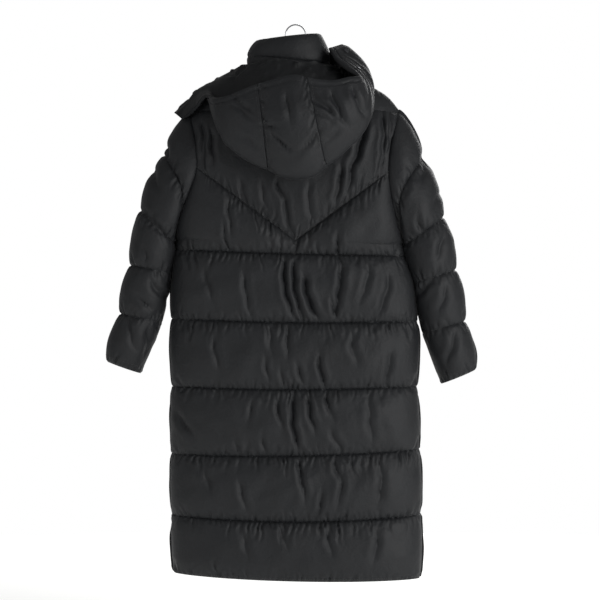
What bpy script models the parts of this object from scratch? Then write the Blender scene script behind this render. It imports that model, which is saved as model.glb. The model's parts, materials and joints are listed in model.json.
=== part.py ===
"""A long quilted puffer coat with a hood, hanging on a plain hanger.

The coat is a set of padded cloth walls: each piece that is cut and sewn is one solid.
A wall is a plain inner face with an outer face that swells between the stitch lines.
Metres, +Z up.  The origin is where the rod carries the hook, +Y is the way the wearer
faces, and +X is the wearer's right, so the coat's back looks towards -Y.
"""
import math
from typing import NamedTuple

import bmesh
import bpy
import numpy as np
from mathutils import Matrix, Vector

# ---------------------------------------------------------------- driving dimensions
SEAM_GAP = 0.0003            # between pieces that are sewn together
STITCH_OUT = 0.0025          # cloth outside the base surface where it is stitched down
LINING_IN = 0.0025           # cloth inside the base surface
TORSO_ROUND = 2.6            # exponent of the torso's oval section
SHOULDER_ROLL = 0.12         # height over which the cloth rolls over the shoulder line

HOOK_RADIUS = 0.0239         # centre line of the hook's arc
HOOK_WIRE = 0.0015           # half the wire's thickness
HOOK_START = -30             # degrees, where the arc's open end is
HOOK_STEP = 14               # degrees between two points of the arc
HOOK_POINTS = 19
HOOK_BEND_SHARE = 0.35       # the stem's bend: how far out it still stands, how far down
HOOK_BEND_DROP = 0.008
HANGER_HALF_DEPTH = 0.010
HANGER_HALF_HEIGHT = 0.011
HANGER_REACH = 0.205
HANGER_TIP = 0.004           # how far beyond its end the taper would close
HANGER_TIP_CURVE = 6
HANGER_TIP_LEAST = 0.05      # share of the section left at the tip, squared
HANGER_NECK_RISE = 0.010     # how far the middle rises between the shoulders
HANGER_STATIONS = 21
HANGER_SIDES = 10

PUFF_ROWS = (0.0, 0.12, 0.36, 0.62, 0.84, 1.0)    # rows across one channel
UNDERARM_ROW = 4                                  # the row that ends at the underarm
YOKE_STEPS = (0.0, 0.03, 0.12, 0.30, 0.52, 0.78, 1.0)    # rows over the shoulders
YOKE_ROWS = len(YOKE_STEPS) - 1
BACK_COLUMNS = 44
BACK_COLUMN_BUNCHING = 0.3   # closer together in the middle and at the side seams
FRONT_COLUMNS = 13
FRONT_COLUMN_EASE = 1.15     # spreads them from the side seam towards the zip
ARMHOLE_BLEND = 6            # exponent: how near the armhole a shoulder column bends to it

BACK_PUFF = 0.020            # how far a full channel stands out from its stitching
FRONT_PUFF = 0.018
YOKE_PUFF = 0.012
SLEEVE_PUFF = 0.013
COLLAR_PUFF = 0.009
BACK_EDGE_PUFF = 0.22        # share of the back's swelling left beside a side seam
FRONT_EDGE_PUFF = 0.45       # the fronts bulge out further there than the back
ARMHOLE_PUFF = 0.05          # and beside an armhole
ARMHOLE_PUFF_DROP = 0.02     # that share still holds this far below the underarm
EDGE_PUFF_CURVE = 8          # exponent: how near a seam the swelling dies away
ZIP_SIDE_PUFF = 0.6          # share left in the column beside the front zip
COLLAR_LOWER_PUFF = 0.5      # share in the collar's lower channel
CHANNEL_PUFF_LIMIT = 0.22    # most swelling, as a share of a channel's height
CAP_PUFF_LIMIT = 0.16        # and of a sleeve cap channel's length
YOKE_PUFF_CURVE = 0.8
LEAST_OUT = STITCH_OUT / 2   # thinnest cloth outside the base surface, in a fold
GATHER_DEPTH = 0.05          # share of the swelling, in the middle of a channel
GATHER_STITCH_DEPTH = 0.16   # and how much more at its stitching
CHANNEL_GATHERS = 34         # waves over half a back in the first channel
CHANNEL_GATHERS_MORE = 3     # more in each channel below
YOKE_GATHERS = 36
BACK_SEED = 1                # where each piece's run of gathers begins
YOKE_SEED = 3
FRONT_SEED = 5
FOLD_OVERRUN = 0.005         # a fold runs this far past its ends, and fades over this
FOLD_FADE = 0.006
FOLD_STITCH_SHARE = 0.3      # share of a fold's depth left at a stitch line

ZIP_HALF_GAP = 0.0042        # from a zip's middle to the cloth edge beside it
FRONT_TAPE = 0.010           # width of half a zip's tape
SIDE_TAPE = 0.007
TAPE_DROP = 0.0012           # from the cloth's inner face to the tape, at the zip
TAPE_THICK = 0.0012
FRONT_TAPE_FOOT = 0.004      # from the hem, and from the collar's edge, to the tape
FRONT_TAPE_HEAD = 0.003
SIDE_TAPE_HEAD = 0.006       # from the zip's upper end, and from the hem
SIDE_TAPE_FOOT = 0.003
SIDE_ZIP_CHANNELS = 3        # channels above the side zips
TEETH_WIDTH = 0.0030
TEETH_HEIGHT = 0.0030
SLIDER_HALF_WIDTH = 0.0036
SLIDER_HALF_LENGTH = 0.0085
SLIDER_THICK = 0.0034
SLIDER_EDGE = 0.0004         # from the slider's top to the foot of its post
POST_HALF_WIDTH = 0.0012
POST_HALF_LENGTH = 0.0036
POST_HEIGHT = 0.0042
PULL_AXIS = 0.0025           # height of the pull tab's hinge over the slider
PULL_HALF_WIDTH = 0.0034
PULL_LENGTH = 0.030
PULL_THICK = 0.0016
PULL_SLOT = 0.0060
PULL_CORNER = 0.002
FRONT_SLIDER_DROP = 0.018    # below the collar's upper edge
SIDE_SLIDER_Z = -1.204
SNAP_RADIUS = 0.0055
SNAP_HALF_THICK = 0.0011
SNAP_TOP_SHARE = 0.8         # how much narrower its face is than its foot
SNAP_SIDES = 16
SNAP_ROW = -3                # the hood's row that the press studs sit on, and columns
SNAP_UPPER_COLUMN = -2
SNAP_LOWER_COLUMN = -4


class Section(NamedTuple):
    """One level of the torso: its side seams and how far back and front reach."""
    z: float
    left: float
    right: float
    back: float
    front: float
    flare: float             # how much further out the front's side edge stands


TORSO = (
    Section(-0.226, -0.250, 0.248, 0.066, 0.062, 0.000),
    Section(-0.290, -0.233, 0.226, 0.072, 0.066, 0.000),
    Section(-0.350, -0.232, 0.218, 0.077, 0.068, 0.000),
    Section(-0.410, -0.246, 0.219, 0.080, 0.070, 0.000),
    Section(-0.455, -0.258, 0.226, 0.081, 0.071, 0.000),
    Section(-0.510, -0.268, 0.239, 0.082, 0.072, 0.000),
    Section(-0.605, -0.276, 0.263, 0.082, 0.073, 0.000),
    Section(-0.700, -0.287, 0.283, 0.083, 0.074, 0.000),
    Section(-0.860, -0.286, 0.281, 0.085, 0.076, 0.000),
    Section(-1.020, -0.287, 0.286, 0.087, 0.078, 0.000),
    Section(-1.170, -0.285, 0.288, 0.090, 0.080, 0.000),
    Section(-1.320, -0.281, 0.289, 0.093, 0.082, 0.004),
)


class Height(NamedTuple):
    """Height of the shoulder line at a distance from the middle."""
    x: float
    z: float


SHOULDER_LINE = (
    Height(0.000, -0.086), Height(0.105, -0.121), Height(0.187, -0.163),
    Height(0.222, -0.191), Height(0.250, -0.226),
)
NECK_HALF_WIDTH = 0.105
NECK_DROP_BACK = 0.062       # below the shoulder line at the middle of the back
NECK_DROP_FRONT = 0.092
NECK_SHARE = 0.44            # share of the columns that end at the neck
ARMHOLE_TOP = -0.226
ARMHOLE_DEPTH = 0.062        # half the armhole, front to back
V_TIP = -0.517               # where the yoke's two seams meet
V_SLOPE = 0.74


class StitchLine(NamedTuple):
    """A stitch line round the body, at the left side, the middle and the right side."""
    left: float
    middle: float
    right: float


BACK_STITCHES = (
    StitchLine(-0.538, -0.5485, -0.5530),
    StitchLine(-0.701, -0.7106, -0.7070),
    StitchLine(-0.861, -0.8680, -0.8610),
    StitchLine(-1.021, -1.0240, -1.0110),
    StitchLine(-1.165, -1.1790, -1.1650),
    StitchLine(-1.3010, -1.3150, -1.3130),
)
SIDE_ZIP_TOP = -0.858        # where the side zips begin
SIDE_ZIP_END = -1.214        # where they stop; the slit is open below
SIDE_SLIT_OPEN = 0.010       # how far each edge of the slit stands off at the hem


class Fold(NamedTuple):
    """A long crease in the cloth: its two ends, its half-width and its depth."""
    x0: float
    z0: float
    x1: float
    z1: float
    half_width: float
    depth: float


BACK_FOLDS = (
    Fold(-0.028, -0.560, -0.008, -0.690, 0.009, 0.010),
    Fold(-0.006, -0.560, 0.012, -0.690, 0.009, 0.009),
    Fold(0.018, -0.600, 0.050, -0.700, 0.010, 0.011),
    Fold(0.110, -0.560, 0.088, -0.690, 0.012, 0.009),
    Fold(0.086, -0.640, 0.100, -0.700, 0.009, 0.006),
    Fold(0.000, -0.725, -0.014, -0.800, 0.009, 0.008),
    Fold(0.018, -0.790, 0.034, -0.860, 0.009, 0.007),
    Fold(0.060, -0.740, 0.082, -0.860, 0.010, 0.009),
    Fold(-0.048, -0.780, -0.040, -0.860, 0.009, 0.006),
    Fold(0.014, -0.880, 0.024, -1.015, 0.010, 0.009),
    Fold(0.050, -0.880, 0.082, -1.010, 0.011, 0.010),
    Fold(-0.056, -0.880, -0.070, -0.960, 0.009, 0.006),
    Fold(0.030, -1.035, 0.040, -1.110, 0.009, 0.006),
    Fold(0.110, -1.035, 0.118, -1.120, 0.010, 0.006),
)
YOKE_FOLDS = (
    Fold(-0.052, -0.370, -0.012, -0.515, 0.009, 0.008),
    Fold(0.092, -0.330, 0.080, -0.440, 0.010, 0.006),
    Fold(0.200, -0.240, 0.196, -0.340, 0.009, 0.006),
    Fold(-0.190, -0.240, -0.196, -0.330, 0.010, 0.005),
)


class Ring(NamedTuple):
    """A stitch line round a sleeve: its outer and inner ends, and its half-depth."""
    outer_x: float
    outer_z: float
    inner_x: float
    inner_z: float
    half_depth: float
    y: float


SLEEVE_LEFT = (
    Ring(-0.3640, -0.4450, -0.2980, -0.5260, 0.060, 0.000),
    Ring(-0.3890, -0.5750, -0.3020, -0.5920, 0.058, 0.004),
    Ring(-0.4125, -0.6900, -0.3210, -0.7100, 0.053, 0.010),
    Ring(-0.4430, -0.7945, -0.3705, -0.8215, 0.043, 0.018),
)
SLEEVE_RIGHT = (
    Ring(0.3470, -0.4615, 0.2720, -0.5300, 0.060, 0.000),
    Ring(0.3760, -0.5860, 0.2860, -0.6180, 0.058, 0.004),
    Ring(0.3980, -0.7080, 0.3120, -0.7340, 0.053, 0.010),
    Ring(0.4225, -0.8150, 0.3480, -0.8470, 0.043, 0.018),
)
CAP_ROWS = 4
CAP_SPLIT_UNDER = 0.16       # where the cap's stitch line runs, under the arm
CAP_SPLIT_TOP = 0.30         # and how much lower it is over the shoulder
SLEEVE_INNER_PUFF = 0.28     # share of the swelling on the side of the body
SLEEVE_INNER_EASE = 1.2
SLEEVE_RIPPLE = 0.12
SLEEVE_ROWS = (0.0, 0.12, 0.36, 0.64, 0.88, 1.0)
CAP_BULGE = 0.007
UNDERARM_GAP = 0.0050        # room for the thickness of the side seam under the arm
UNDERARM_REACH = 0.045
ARMHOLE_STEP = 0.010         # how far the sleeve steps away from the body at first


class CollarRing(NamedTuple):
    """One level of the stand collar: its middle, half-sizes, and its two side heights."""
    x: float
    half_width: float
    half_depth: float
    z_left: float
    z_right: float


COLLAR_STITCH = CollarRing(-0.017, 0.094, 0.063, -0.079, -0.098)
COLLAR_TOP = CollarRing(-0.016, 0.071, 0.055, -0.043, -0.029)
COLLAR_ROWS = (0.0, 0.14, 0.5, 0.86, 1.0)


class HoodStation(NamedTuple):
    """One line over the hood, from the neck to its lowest point and up to the rim."""
    neck_x: float
    neck_y: float
    neck_z: float
    low_x: float
    low_y: float
    low_z: float
    rim_x: float
    rim_y: float
    rim_z: float


HOOD = (
    HoodStation(-0.281, 0.030, -0.216, -0.284, 0.000, -0.208, -0.282, -0.032, -0.216),
    HoodStation(-0.262, 0.036, -0.190, -0.265, 0.002, -0.182, -0.263, -0.036, -0.190),
    HoodStation(-0.238, 0.040, -0.168, -0.242, 0.002, -0.160, -0.241, -0.042, -0.169),
    HoodStation(-0.208, 0.038, -0.152, -0.217, -0.004, -0.149, -0.220, -0.056, -0.163),
    HoodStation(-0.172, 0.026, -0.134, -0.197, -0.042, -0.162, -0.204, -0.082, -0.172),
    HoodStation(-0.142, -0.012, -0.112, -0.184, -0.104, -0.222, -0.184, -0.120, -0.184),
    HoodStation(-0.116, -0.054, -0.104, -0.152, -0.132, -0.288, -0.152, -0.148, -0.180),
    HoodStation(-0.080, -0.082, -0.100, -0.096, -0.142, -0.332, -0.102, -0.160, -0.160),
    HoodStation(-0.044, -0.092, -0.100, -0.044, -0.146, -0.357, -0.054, -0.165, -0.146),
    HoodStation(-0.008, -0.094, -0.102, 0.000, -0.146, -0.366, -0.004, -0.166, -0.134),
    HoodStation(0.028, -0.091, -0.104, 0.046, -0.146, -0.356, 0.040, -0.165, -0.143),
    HoodStation(0.062, -0.082, -0.106, 0.092, -0.142, -0.322, 0.084, -0.160, -0.147),
    HoodStation(0.092, -0.058, -0.108, 0.140, -0.136, -0.270, 0.124, -0.150, -0.138),
    HoodStation(0.106, -0.020, -0.106, 0.168, -0.110, -0.214, 0.164, -0.128, -0.136),
    HoodStation(0.108, 0.010, -0.096, 0.156, -0.052, -0.128, 0.168, -0.084, -0.118),
    HoodStation(0.108, 0.028, -0.082, 0.132, -0.008, -0.094, 0.148, -0.042, -0.088),
    HoodStation(0.108, 0.036, -0.064, 0.122, 0.006, -0.064, 0.134, -0.022, -0.058),
)
HOOD_SEAM_LEFT = 7           # the stations where the hood's panels are joined
HOOD_SEAM_RIGHT = 11
HOOD_SUBSTEPS = 2            # columns between two stations
HOOD_LOOP_ROWS = 12
HOOD_ROOM = 0.021            # from the coat's base surface to the hood's own surface
HOOD_SEAM_ROOM = 0.0115      # the same where the hood is sewn to the collar
HOOD_SEWN_REACH = 2.00       # the seam ends this far out, in collar half-widths
HOOD_SEWN_FADE = 0.25
HOOD_SEWN_Y = -0.066         # the seam is drawn in fully behind this, and over what depth
HOOD_SEWN_DEPTH = 0.030
HOOD_WALL = 0.005
HOOD_PUFF = 0.010
HOOD_PUFF_RISE = 2.2         # the padding fills out down the loop, from this share on
HOOD_PUFF_START = 0.4
HOOD_PUFF_CURVE = 0.7
HOOD_LINING = 0.002
HOOD_PANEL_GAP = 0.00042     # from a seam of the hood to the cloth on each side
HOOD_INNER_BOW = 0.14        # how far the hanging bag bows out, as a share of its depth
HOOD_NEAR_SHARE = 0.55       # where the bow is widest on the side of the back
HOOD_FAR_SHARE = 0.50        # and on the side of the rim
COLLAR_FOOT_Z = -0.155       # where the collar starts to narrow, and over what height
COLLAR_NARROWING = 0.065
COLLAR_CLEAR_Z = -0.17       # below here the hood clears the back and not the collar
HOOD_LIFT_DEPTH = 0.09       # the hood opens out about a line this far below its top
HOOD_LIFT_STEPS = 60         # most steps of one hundredth that it is opened out by
SNAP_LIFT = 0.0016           # clears the padding's curve under a press stud


class Finish(NamedTuple):
    """Colour and surface of a material."""
    red: float
    green: float
    blue: float
    roughness: float
    metallic: float


NYLON = Finish(0.030, 0.032, 0.035, 0.42, 0.0)
LINING = Finish(0.012, 0.013, 0.014, 0.55, 0.0)
TAPE = Finish(0.018, 0.018, 0.019, 0.80, 0.0)
NICKEL = Finish(0.55, 0.55, 0.56, 0.30, 1.0)
STEEL = Finish(0.62, 0.62, 0.63, 0.25, 1.0)
PLASTIC = Finish(0.02, 0.02, 0.02, 0.50, 0.0)


# ---------------------------------------------------------------- blender helpers
def clear_scene():
    """Remove every object, so that the model starts from nothing."""
    for old in list(bpy.data.objects):
        bpy.data.objects.remove(old, do_unlink=True)


def make_material(name, finish):
    """A Principled material with one colour."""
    material = bpy.data.materials.new(name)
    material.use_nodes = True
    shader = material.node_tree.nodes["Principled BSDF"]
    shader.inputs["Base Color"].default_value = (finish.red, finish.green, finish.blue, 1)
    shader.inputs["Roughness"].default_value = finish.roughness
    shader.inputs["Metallic"].default_value = finish.metallic
    return material


def add_object(name, mesh, material, collection):
    """Link a mesh as a named object with its material."""
    piece = bpy.data.objects.new(name, mesh)
    piece.data.materials.append(material)
    collection.objects.link(piece)
    return piece


def closed_mesh(name, vertices, faces):
    """A closed mesh, its faces outward and all of them triangles."""
    mesh = bpy.data.meshes.new(name)
    shape = bmesh.new()
    points = [shape.verts.new(point) for point in vertices]
    for face in faces:
        shape.faces.new([points[index] for index in face])
    bmesh.ops.recalc_face_normals(shape, faces=shape.faces)
    bmesh.ops.triangulate(shape, faces=shape.faces, quad_method="FIXED")
    shape.to_mesh(mesh)
    shape.free()
    mesh.shade_smooth()
    mesh.set_sharp_from_angle(angle=math.radians(50))
    return mesh


# ---------------------------------------------------------------- curves and surfaces
def smooth_value(x, xs, ys):
    """A smooth curve through (xs, ys), with the slopes of its neighbours."""
    xs = np.asarray(xs, float)
    ys = np.asarray(ys, float)
    slopes = np.gradient(ys, xs)
    x = np.clip(x, xs[0], xs[-1])
    k = np.clip(np.searchsorted(xs, x) - 1, 0, len(xs) - 2)
    width = xs[k + 1] - xs[k]
    t = (x - xs[k]) / width
    return ((2 * t**3 - 3 * t**2 + 1) * ys[k] + (t**3 - 2 * t**2 + t) * width * slopes[k]
            + (3 * t**2 - 2 * t**3) * ys[k + 1] + (t**3 - t**2) * width * slopes[k + 1])


def torso_value(z, column):
    """One column of the torso's table at a height."""
    rows = TORSO[::-1]
    return smooth_value(z, [row.z for row in rows], [getattr(row, column) for row in rows])


def shoulder_height(x):
    """Height of the shoulder line."""
    return smooth_value(np.abs(x), [row.x for row in SHOULDER_LINE],
                        [row.z for row in SHOULDER_LINE])


def quarter_round(share):
    """Rises from 0 to 1 along a quarter of a circle."""
    return np.sqrt(np.clip(1 - (1 - np.clip(share, 0, 1)) ** 2, 0, 1))


def underarm_height(s):
    """The height at which the armhole closes, from the left side, -1, to the right, 1."""
    share = PUFF_ROWS[UNDERARM_ROW]
    left = v_height(-1.0, -1) * (1 - share) + BACK_STITCHES[0].left * share
    right = v_height(1.0, -1) * (1 - share) + BACK_STITCHES[0].right * share
    return (left + right) / 2 + (right - left) / 2 * s


def armhole_half_depth(z, s):
    """Half the armhole's opening, front to back, at a height."""
    bottom = underarm_height(s)
    middle = (ARMHOLE_TOP + bottom) / 2
    half = (ARMHOLE_TOP - bottom) / 2
    return ARMHOLE_DEPTH * np.sqrt(np.clip(1 - ((z - middle) / half) ** 2, 0, 1))


def oval(s):
    """Depth share of the torso's section at s, from -1 at the left seam to 1 at the right."""
    return np.clip(1 - np.abs(s) ** TORSO_ROUND, 0, 1) ** (1 / TORSO_ROUND)


def side_to_side(z, s, face):
    """The distance across the torso of a column at a height."""
    left = torso_value(z, "left")
    right = torso_value(z, "right")
    flare = torso_value(z, "flare") if face > 0 else 0.0
    return (left + right) / 2 + ((right - left) / 2 + flare) * s


def torso_point(s, z, face):
    """A point of the torso's base surface; face is -1 on the back and 1 on the front."""
    depth = torso_value(z, "back" if face < 0 else "front")
    edge = armhole_half_depth(z, s)
    y = edge * (1 - oval(s)) + depth * oval(s)
    return np.array([side_to_side(z, s, face), face * y, z])


def three_point(stitch, s):
    """Height of a stitch line at s."""
    return (stitch.middle + (stitch.right - stitch.left) / 2 * s
            + ((stitch.right + stitch.left) / 2 - stitch.middle) * s * s)


def v_height(s, face):
    """Height of the lowest edge of the shoulder piece: a V on the back, level in front."""
    if face > 0:
        left = v_height(-1.0, -1)
        right = v_height(1.0, -1)
        return (left + right) / 2 + (right - left) / 2 * s
    z = V_TIP
    for _ in range(12):
        z = V_TIP + V_SLOPE * abs(side_to_side(z, s, face))
    return z


def neck_or_shoulder(s, face):
    """Where a column starts: on the neck seam near the middle, else on the shoulder."""
    drop = NECK_DROP_BACK if face < 0 else NECK_DROP_FRONT
    if abs(s) <= NECK_SHARE:
        angle = s / NECK_SHARE * math.pi / 2
        x = NECK_HALF_WIDTH * math.sin(angle)
        return x, float(shoulder_height(x)) - drop * math.cos(angle) ** 2
    share = (abs(s) - NECK_SHARE) / (1 - NECK_SHARE)
    tip = -TORSO[0].left if s < 0 else TORSO[0].right
    x = math.copysign(NECK_HALF_WIDTH + (tip - NECK_HALF_WIDTH) * share, s)
    return x, float(shoulder_height(x))


def shoulder_point(s, t, face):
    """A point of the part over the shoulders, t from 0 at the top to 1 at its lower edge."""
    x_top, z_top = neck_or_shoulder(s, face)
    z_low = v_height(s, face)
    z = z_top + (z_low - z_top) * t
    x_low = side_to_side(z_low, s, face)
    x = x_top + (x_low - x_top) * t
    side = 1.0 if s > 0 else -1.0
    side_low = v_height(side, face)
    side_z = ARMHOLE_TOP + (side_low - ARMHOLE_TOP) * t
    straight = TORSO[0].right if s > 0 else TORSO[0].left
    straight += (side_to_side(side_low, side, face) - straight) * t
    x += (side_to_side(side_z, side, face) - straight) * abs(s) ** ARMHOLE_BLEND
    depth = torso_value(z, "back" if face < 0 else "front")
    below = max(float(shoulder_height(x)) - z, 0.0)
    depth *= quarter_round(below / SHOULDER_ROLL)
    edge = armhole_half_depth(z, s)
    return np.array([x, face * (edge * (1 - oval(s)) + depth * oval(s)), z])


def column_shares(count, first, last):
    """Positions across the torso, closer together in the middle and at the side seams."""
    tau = np.linspace(first, last, count + 1)
    tau = tau - BACK_COLUMN_BUNCHING * np.sin(math.pi * tau) / math.pi
    return np.sin(tau * math.pi / 2)


def unit(vectors):
    """Vectors of length one."""
    length = np.linalg.norm(vectors, axis=-1, keepdims=True)
    return vectors / np.maximum(length, 1e-12)


def surface_normals(grid, away_from, wrap=False):
    """Normals of a grid of points, pointing away from a point or a grid of points."""
    down = np.gradient(grid, axis=0)
    if wrap:
        across = (np.roll(grid, -1, axis=1) - np.roll(grid, 1, axis=1)) / 2
    else:
        across = np.gradient(grid, axis=1)
    normals = unit(np.cross(down, across))
    middle = normals[len(grid) // 2, grid.shape[1] // 2]
    outward = (grid - away_from)[len(grid) // 2, grid.shape[1] // 2]
    return normals if np.dot(middle, outward) > 0 else -normals


def wall_faces(rows, columns, inner_rows, wrap):
    """Faces of a closed wall: outer grid, inner grid on some of its rows, and its edges."""
    last = columns if wrap else columns - 1
    outer_count = rows * columns

    def outer(row, column):
        return row * columns + column % columns

    def inner(step, column):
        return outer_count + step * columns + column % columns

    faces = []
    for row in range(rows - 1):
        for column in range(last):
            faces.append((outer(row, column), outer(row, column + 1),
                          outer(row + 1, column + 1), outer(row + 1, column)))
    steps = len(inner_rows)
    for step in range(steps - 1):
        for column in range(last):
            faces.append((inner(step, column), inner(step + 1, column),
                          inner(step + 1, column + 1), inner(step, column + 1)))
    for column in range(last):
        faces.append((outer(0, column), inner(0, column),
                      inner(0, column + 1), outer(0, column + 1)))
        faces.append((outer(rows - 1, column), outer(rows - 1, column + 1),
                      inner(steps - 1, column + 1), inner(steps - 1, column)))
    if not wrap:
        for step in range(steps - 1):
            run = range(inner_rows[step], inner_rows[step + 1] + 1)
            faces.append([outer(row, 0) for row in run] + [inner(step + 1, 0), inner(step, 0)])
            faces.append([outer(row, columns - 1) for row in reversed(run)]
                         + [inner(step, columns - 1), inner(step + 1, columns - 1)])
    return faces


def wall_mesh(name, grid, normals, outward, inward, inner_rows, wrap=False):
    """A closed wall round a base surface, with its own thickness at every point."""
    outer = grid + normals * outward[..., None]
    inner = (grid - normals * inward[..., None])[list(inner_rows)]
    rows, columns = grid.shape[:2]
    vertices = np.concatenate([outer.reshape(-1, 3), inner.reshape(-1, 3)])
    return closed_mesh(name, vertices, wall_faces(rows, columns, inner_rows, wrap))


# ---------------------------------------------------------------- swelling and folds
def channel_swell(t):
    """Swelling across one channel, t from 0 at its upper stitching to 1 at its lower."""
    return np.clip(4 * t * (1 - t), 0, 1) ** 0.5


def gathers(s, t, count, seed):
    """Small uneven gathers that run off the stitching, as a factor on the swelling."""
    phase = seed * 1.7
    wave = (np.sin(s * count + phase) + 0.6 * np.sin(s * count * 1.63 + 2.1 * phase)
            + 0.4 * np.sin(s * count * 0.47 + 0.9 * phase))
    near = np.abs(2 * t - 1) ** 2
    return 1 + (GATHER_DEPTH + GATHER_STITCH_DEPTH * near) * wave


def fold_depth(x, z, folds):
    """How far the long creases press in at a point."""
    depth = 0.0
    for fold in folds:
        along_x = fold.x1 - fold.x0
        along_z = fold.z1 - fold.z0
        length = math.hypot(along_x, along_z)
        along = ((x - fold.x0) * along_x + (z - fold.z0) * along_z) / length
        across = ((x - fold.x0) * along_z - (z - fold.z0) * along_x) / length
        ends = 1 / (1 + math.exp(-(along + FOLD_OVERRUN) / FOLD_FADE)) / (
            1 + math.exp((along - length - FOLD_OVERRUN) / FOLD_FADE))
        depth += fold.depth * ends * math.exp(-(across / fold.half_width) ** 2)
    return depth


# ---------------------------------------------------------------- the torso's pieces
def seam_offset(z):
    """How far a side edge stands from the seam's middle: sewn, zipped, then open."""
    if z > SIDE_ZIP_TOP:
        return SEAM_GAP
    opened = max(SIDE_ZIP_END - z, 0.0) / (SIDE_ZIP_END - BACK_STITCHES[-1].left)
    return ZIP_HALF_GAP + SIDE_SLIT_OPEN * opened


def keep_to_side(grid, face):
    """Hold a piece's points on its own side of the shoulder and side seams."""
    for row in grid:
        for point in row:
            point[1] = face * math.hypot(point[1], seam_offset(point[2]))


def shoulder_grid(shares, face):
    """Base points of the part over the shoulders."""
    return np.array([[shoulder_point(s, t, face) for s in shares] for t in YOKE_STEPS])


def panel_grid(shares, face):
    """Base points below the shoulder part, a set of rows for each channel."""
    rows = []
    for channel, stitch in enumerate(BACK_STITCHES):
        for t in PUFF_ROWS[0 if channel == 0 else 1:]:
            row = []
            for s in shares:
                top = (v_height(s, face) if channel == 0
                       else three_point(BACK_STITCHES[channel - 1], s))
                row.append(torso_point(s, top + (three_point(stitch, s) - top) * t, face))
            rows.append(row)
    return np.array(rows)


def with_neck_corner(shares):
    """The same columns, the nearest ones moved onto the neck's corners."""
    moved = np.array(shares)
    for corner in (-NECK_SHARE, NECK_SHARE):
        if moved.min() < corner < moved.max():
            moved[np.argmin(np.abs(moved - corner))] = corner
    return moved


def back_shares():
    """Columns of the back's pieces."""
    return with_neck_corner(column_shares(BACK_COLUMNS, -1, 1))


def front_shares(side):
    """Columns of one front, from its side seam to the zip."""
    places = np.linspace(1, 0, FRONT_COLUMNS + 1) ** FRONT_COLUMN_EASE
    return with_neck_corner(np.sin(places * math.pi / 2) * side)


def zip_side(grid, side):
    """Move a front's last column to the edge beside the zip."""
    for row in grid:
        row[-1][0] = side * ZIP_HALF_GAP


def seam_normals(grid, shares, face, shoulder):
    """Surface normals, turned along the seams at the edges of a piece."""
    axis = grid.copy()
    axis[..., 1] = 0.0
    normals = surface_normals(grid, axis)
    for column, s in enumerate(shares):
        if abs(s) > 0.999:
            side = math.copysign(1, s)
            edge, edge_normals, back_count = armhole_line(side)
            for row, point in enumerate(grid[:, column]):
                nearest = np.argmin(np.abs(edge[:back_count, 2] - point[2]))
                if point[2] > underarm_height(side) + 0.001:
                    normals[row, column] = edge_normals[nearest] * (1, -face, 1)
                else:
                    normals[row, column] = (side, 0, 0)
        if face > 0 and column == len(shares) - 1:
            normals[:, column, 0] = 0.0
        if shoulder and abs(s) > NECK_SHARE + 1e-6:
            normals[0, column, 1] = 0.0
            if abs(s) > 0.999:
                normals[0, column] = (0, 0, 1)
        elif shoulder:
            angle = s / NECK_SHARE * math.pi / 2
            normals[0, column] = (math.sin(angle), face * math.cos(angle), 0)
    return unit(normals)


def edge_taper(s, z, edge_puff):
    """Less swelling beside the side seams, and hardly any beside the armholes."""
    left = edge_puff if z < underarm_height(0) - ARMHOLE_PUFF_DROP else ARMHOLE_PUFF
    return left + (1 - left) * (1 - np.abs(s) ** EDGE_PUFF_CURVE)


def channel_thickness(grid, shares, puff, edge_puff, seed, folds):
    """Outer distance from the base over the channels, with gathers and long creases."""
    outward = np.empty(grid.shape[:2])
    steps = len(PUFF_ROWS) - 1
    for row in range(len(grid)):
        channel, step = divmod(row, steps)
        if row == len(grid) - 1:
            channel, step = channel - 1, steps
        t = PUFF_ROWS[step]
        for column, s in enumerate(shares):
            top = grid[channel * steps, column, 2]
            bottom = grid[(channel + 1) * steps, column, 2]
            full = min(puff, CHANNEL_PUFF_LIMIT * (top - bottom))
            swell = full * channel_swell(t) * edge_taper(s, grid[row, column, 2], edge_puff)
            swell *= gathers(s, t, CHANNEL_GATHERS + CHANNEL_GATHERS_MORE * channel,
                             seed + channel)
            x, _, z = grid[row, column]
            pressed = fold_depth(x, z, folds) * min(channel_swell(t) + FOLD_STITCH_SHARE, 1)
            outward[row, column] = max(STITCH_OUT + swell - pressed, LEAST_OUT)
    outward[0] = STITCH_OUT
    return outward


def inner_rows_of_panel():
    """The rows that a panel's plain inside keeps: beside armhole and slit, and the stitching."""
    steps = len(PUFF_ROWS) - 1
    last = steps * (len(BACK_STITCHES) - 1)
    return (tuple(range(steps)) + tuple(range(steps, last, steps))
            + tuple(range(last, last + steps + 1)))


def build_back_panel(material, collection):
    """The back below the V: six channels, with its long creases."""
    shares = back_shares()
    grid = panel_grid(shares, -1)
    keep_to_side(grid, -1)
    grid[0, :, 2] -= 1.5 * SEAM_GAP
    normals = seam_normals(grid, shares, -1, False)
    outward = channel_thickness(grid, shares, BACK_PUFF, BACK_EDGE_PUFF, BACK_SEED,
                                BACK_FOLDS)
    inward = np.full(grid.shape[:2], LINING_IN)
    mesh = wall_mesh("back_panel", grid, normals, outward, inward, inner_rows_of_panel())
    return add_object("back_panel", mesh, material, collection)


def shoulder_thickness(grid, shares, puff, folds):
    """Outer distance from the base over a shoulder part."""
    outward = np.empty(grid.shape[:2])
    last = len(grid) - 1
    for row in range(len(grid)):
        t = YOKE_STEPS[row]
        swell = puff * (4 * t * (1 - t)) ** YOKE_PUFF_CURVE
        for column, s in enumerate(shares):
            x, _, z = grid[row, column]
            side = edge_taper(s, z, ARMHOLE_PUFF) * gathers(s, t, YOKE_GATHERS, YOKE_SEED)
            outward[row, column] = max(
                STITCH_OUT + swell * side - fold_depth(x, z, folds), LEAST_OUT)
    outward[(0, last), :] = STITCH_OUT
    return outward


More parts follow.
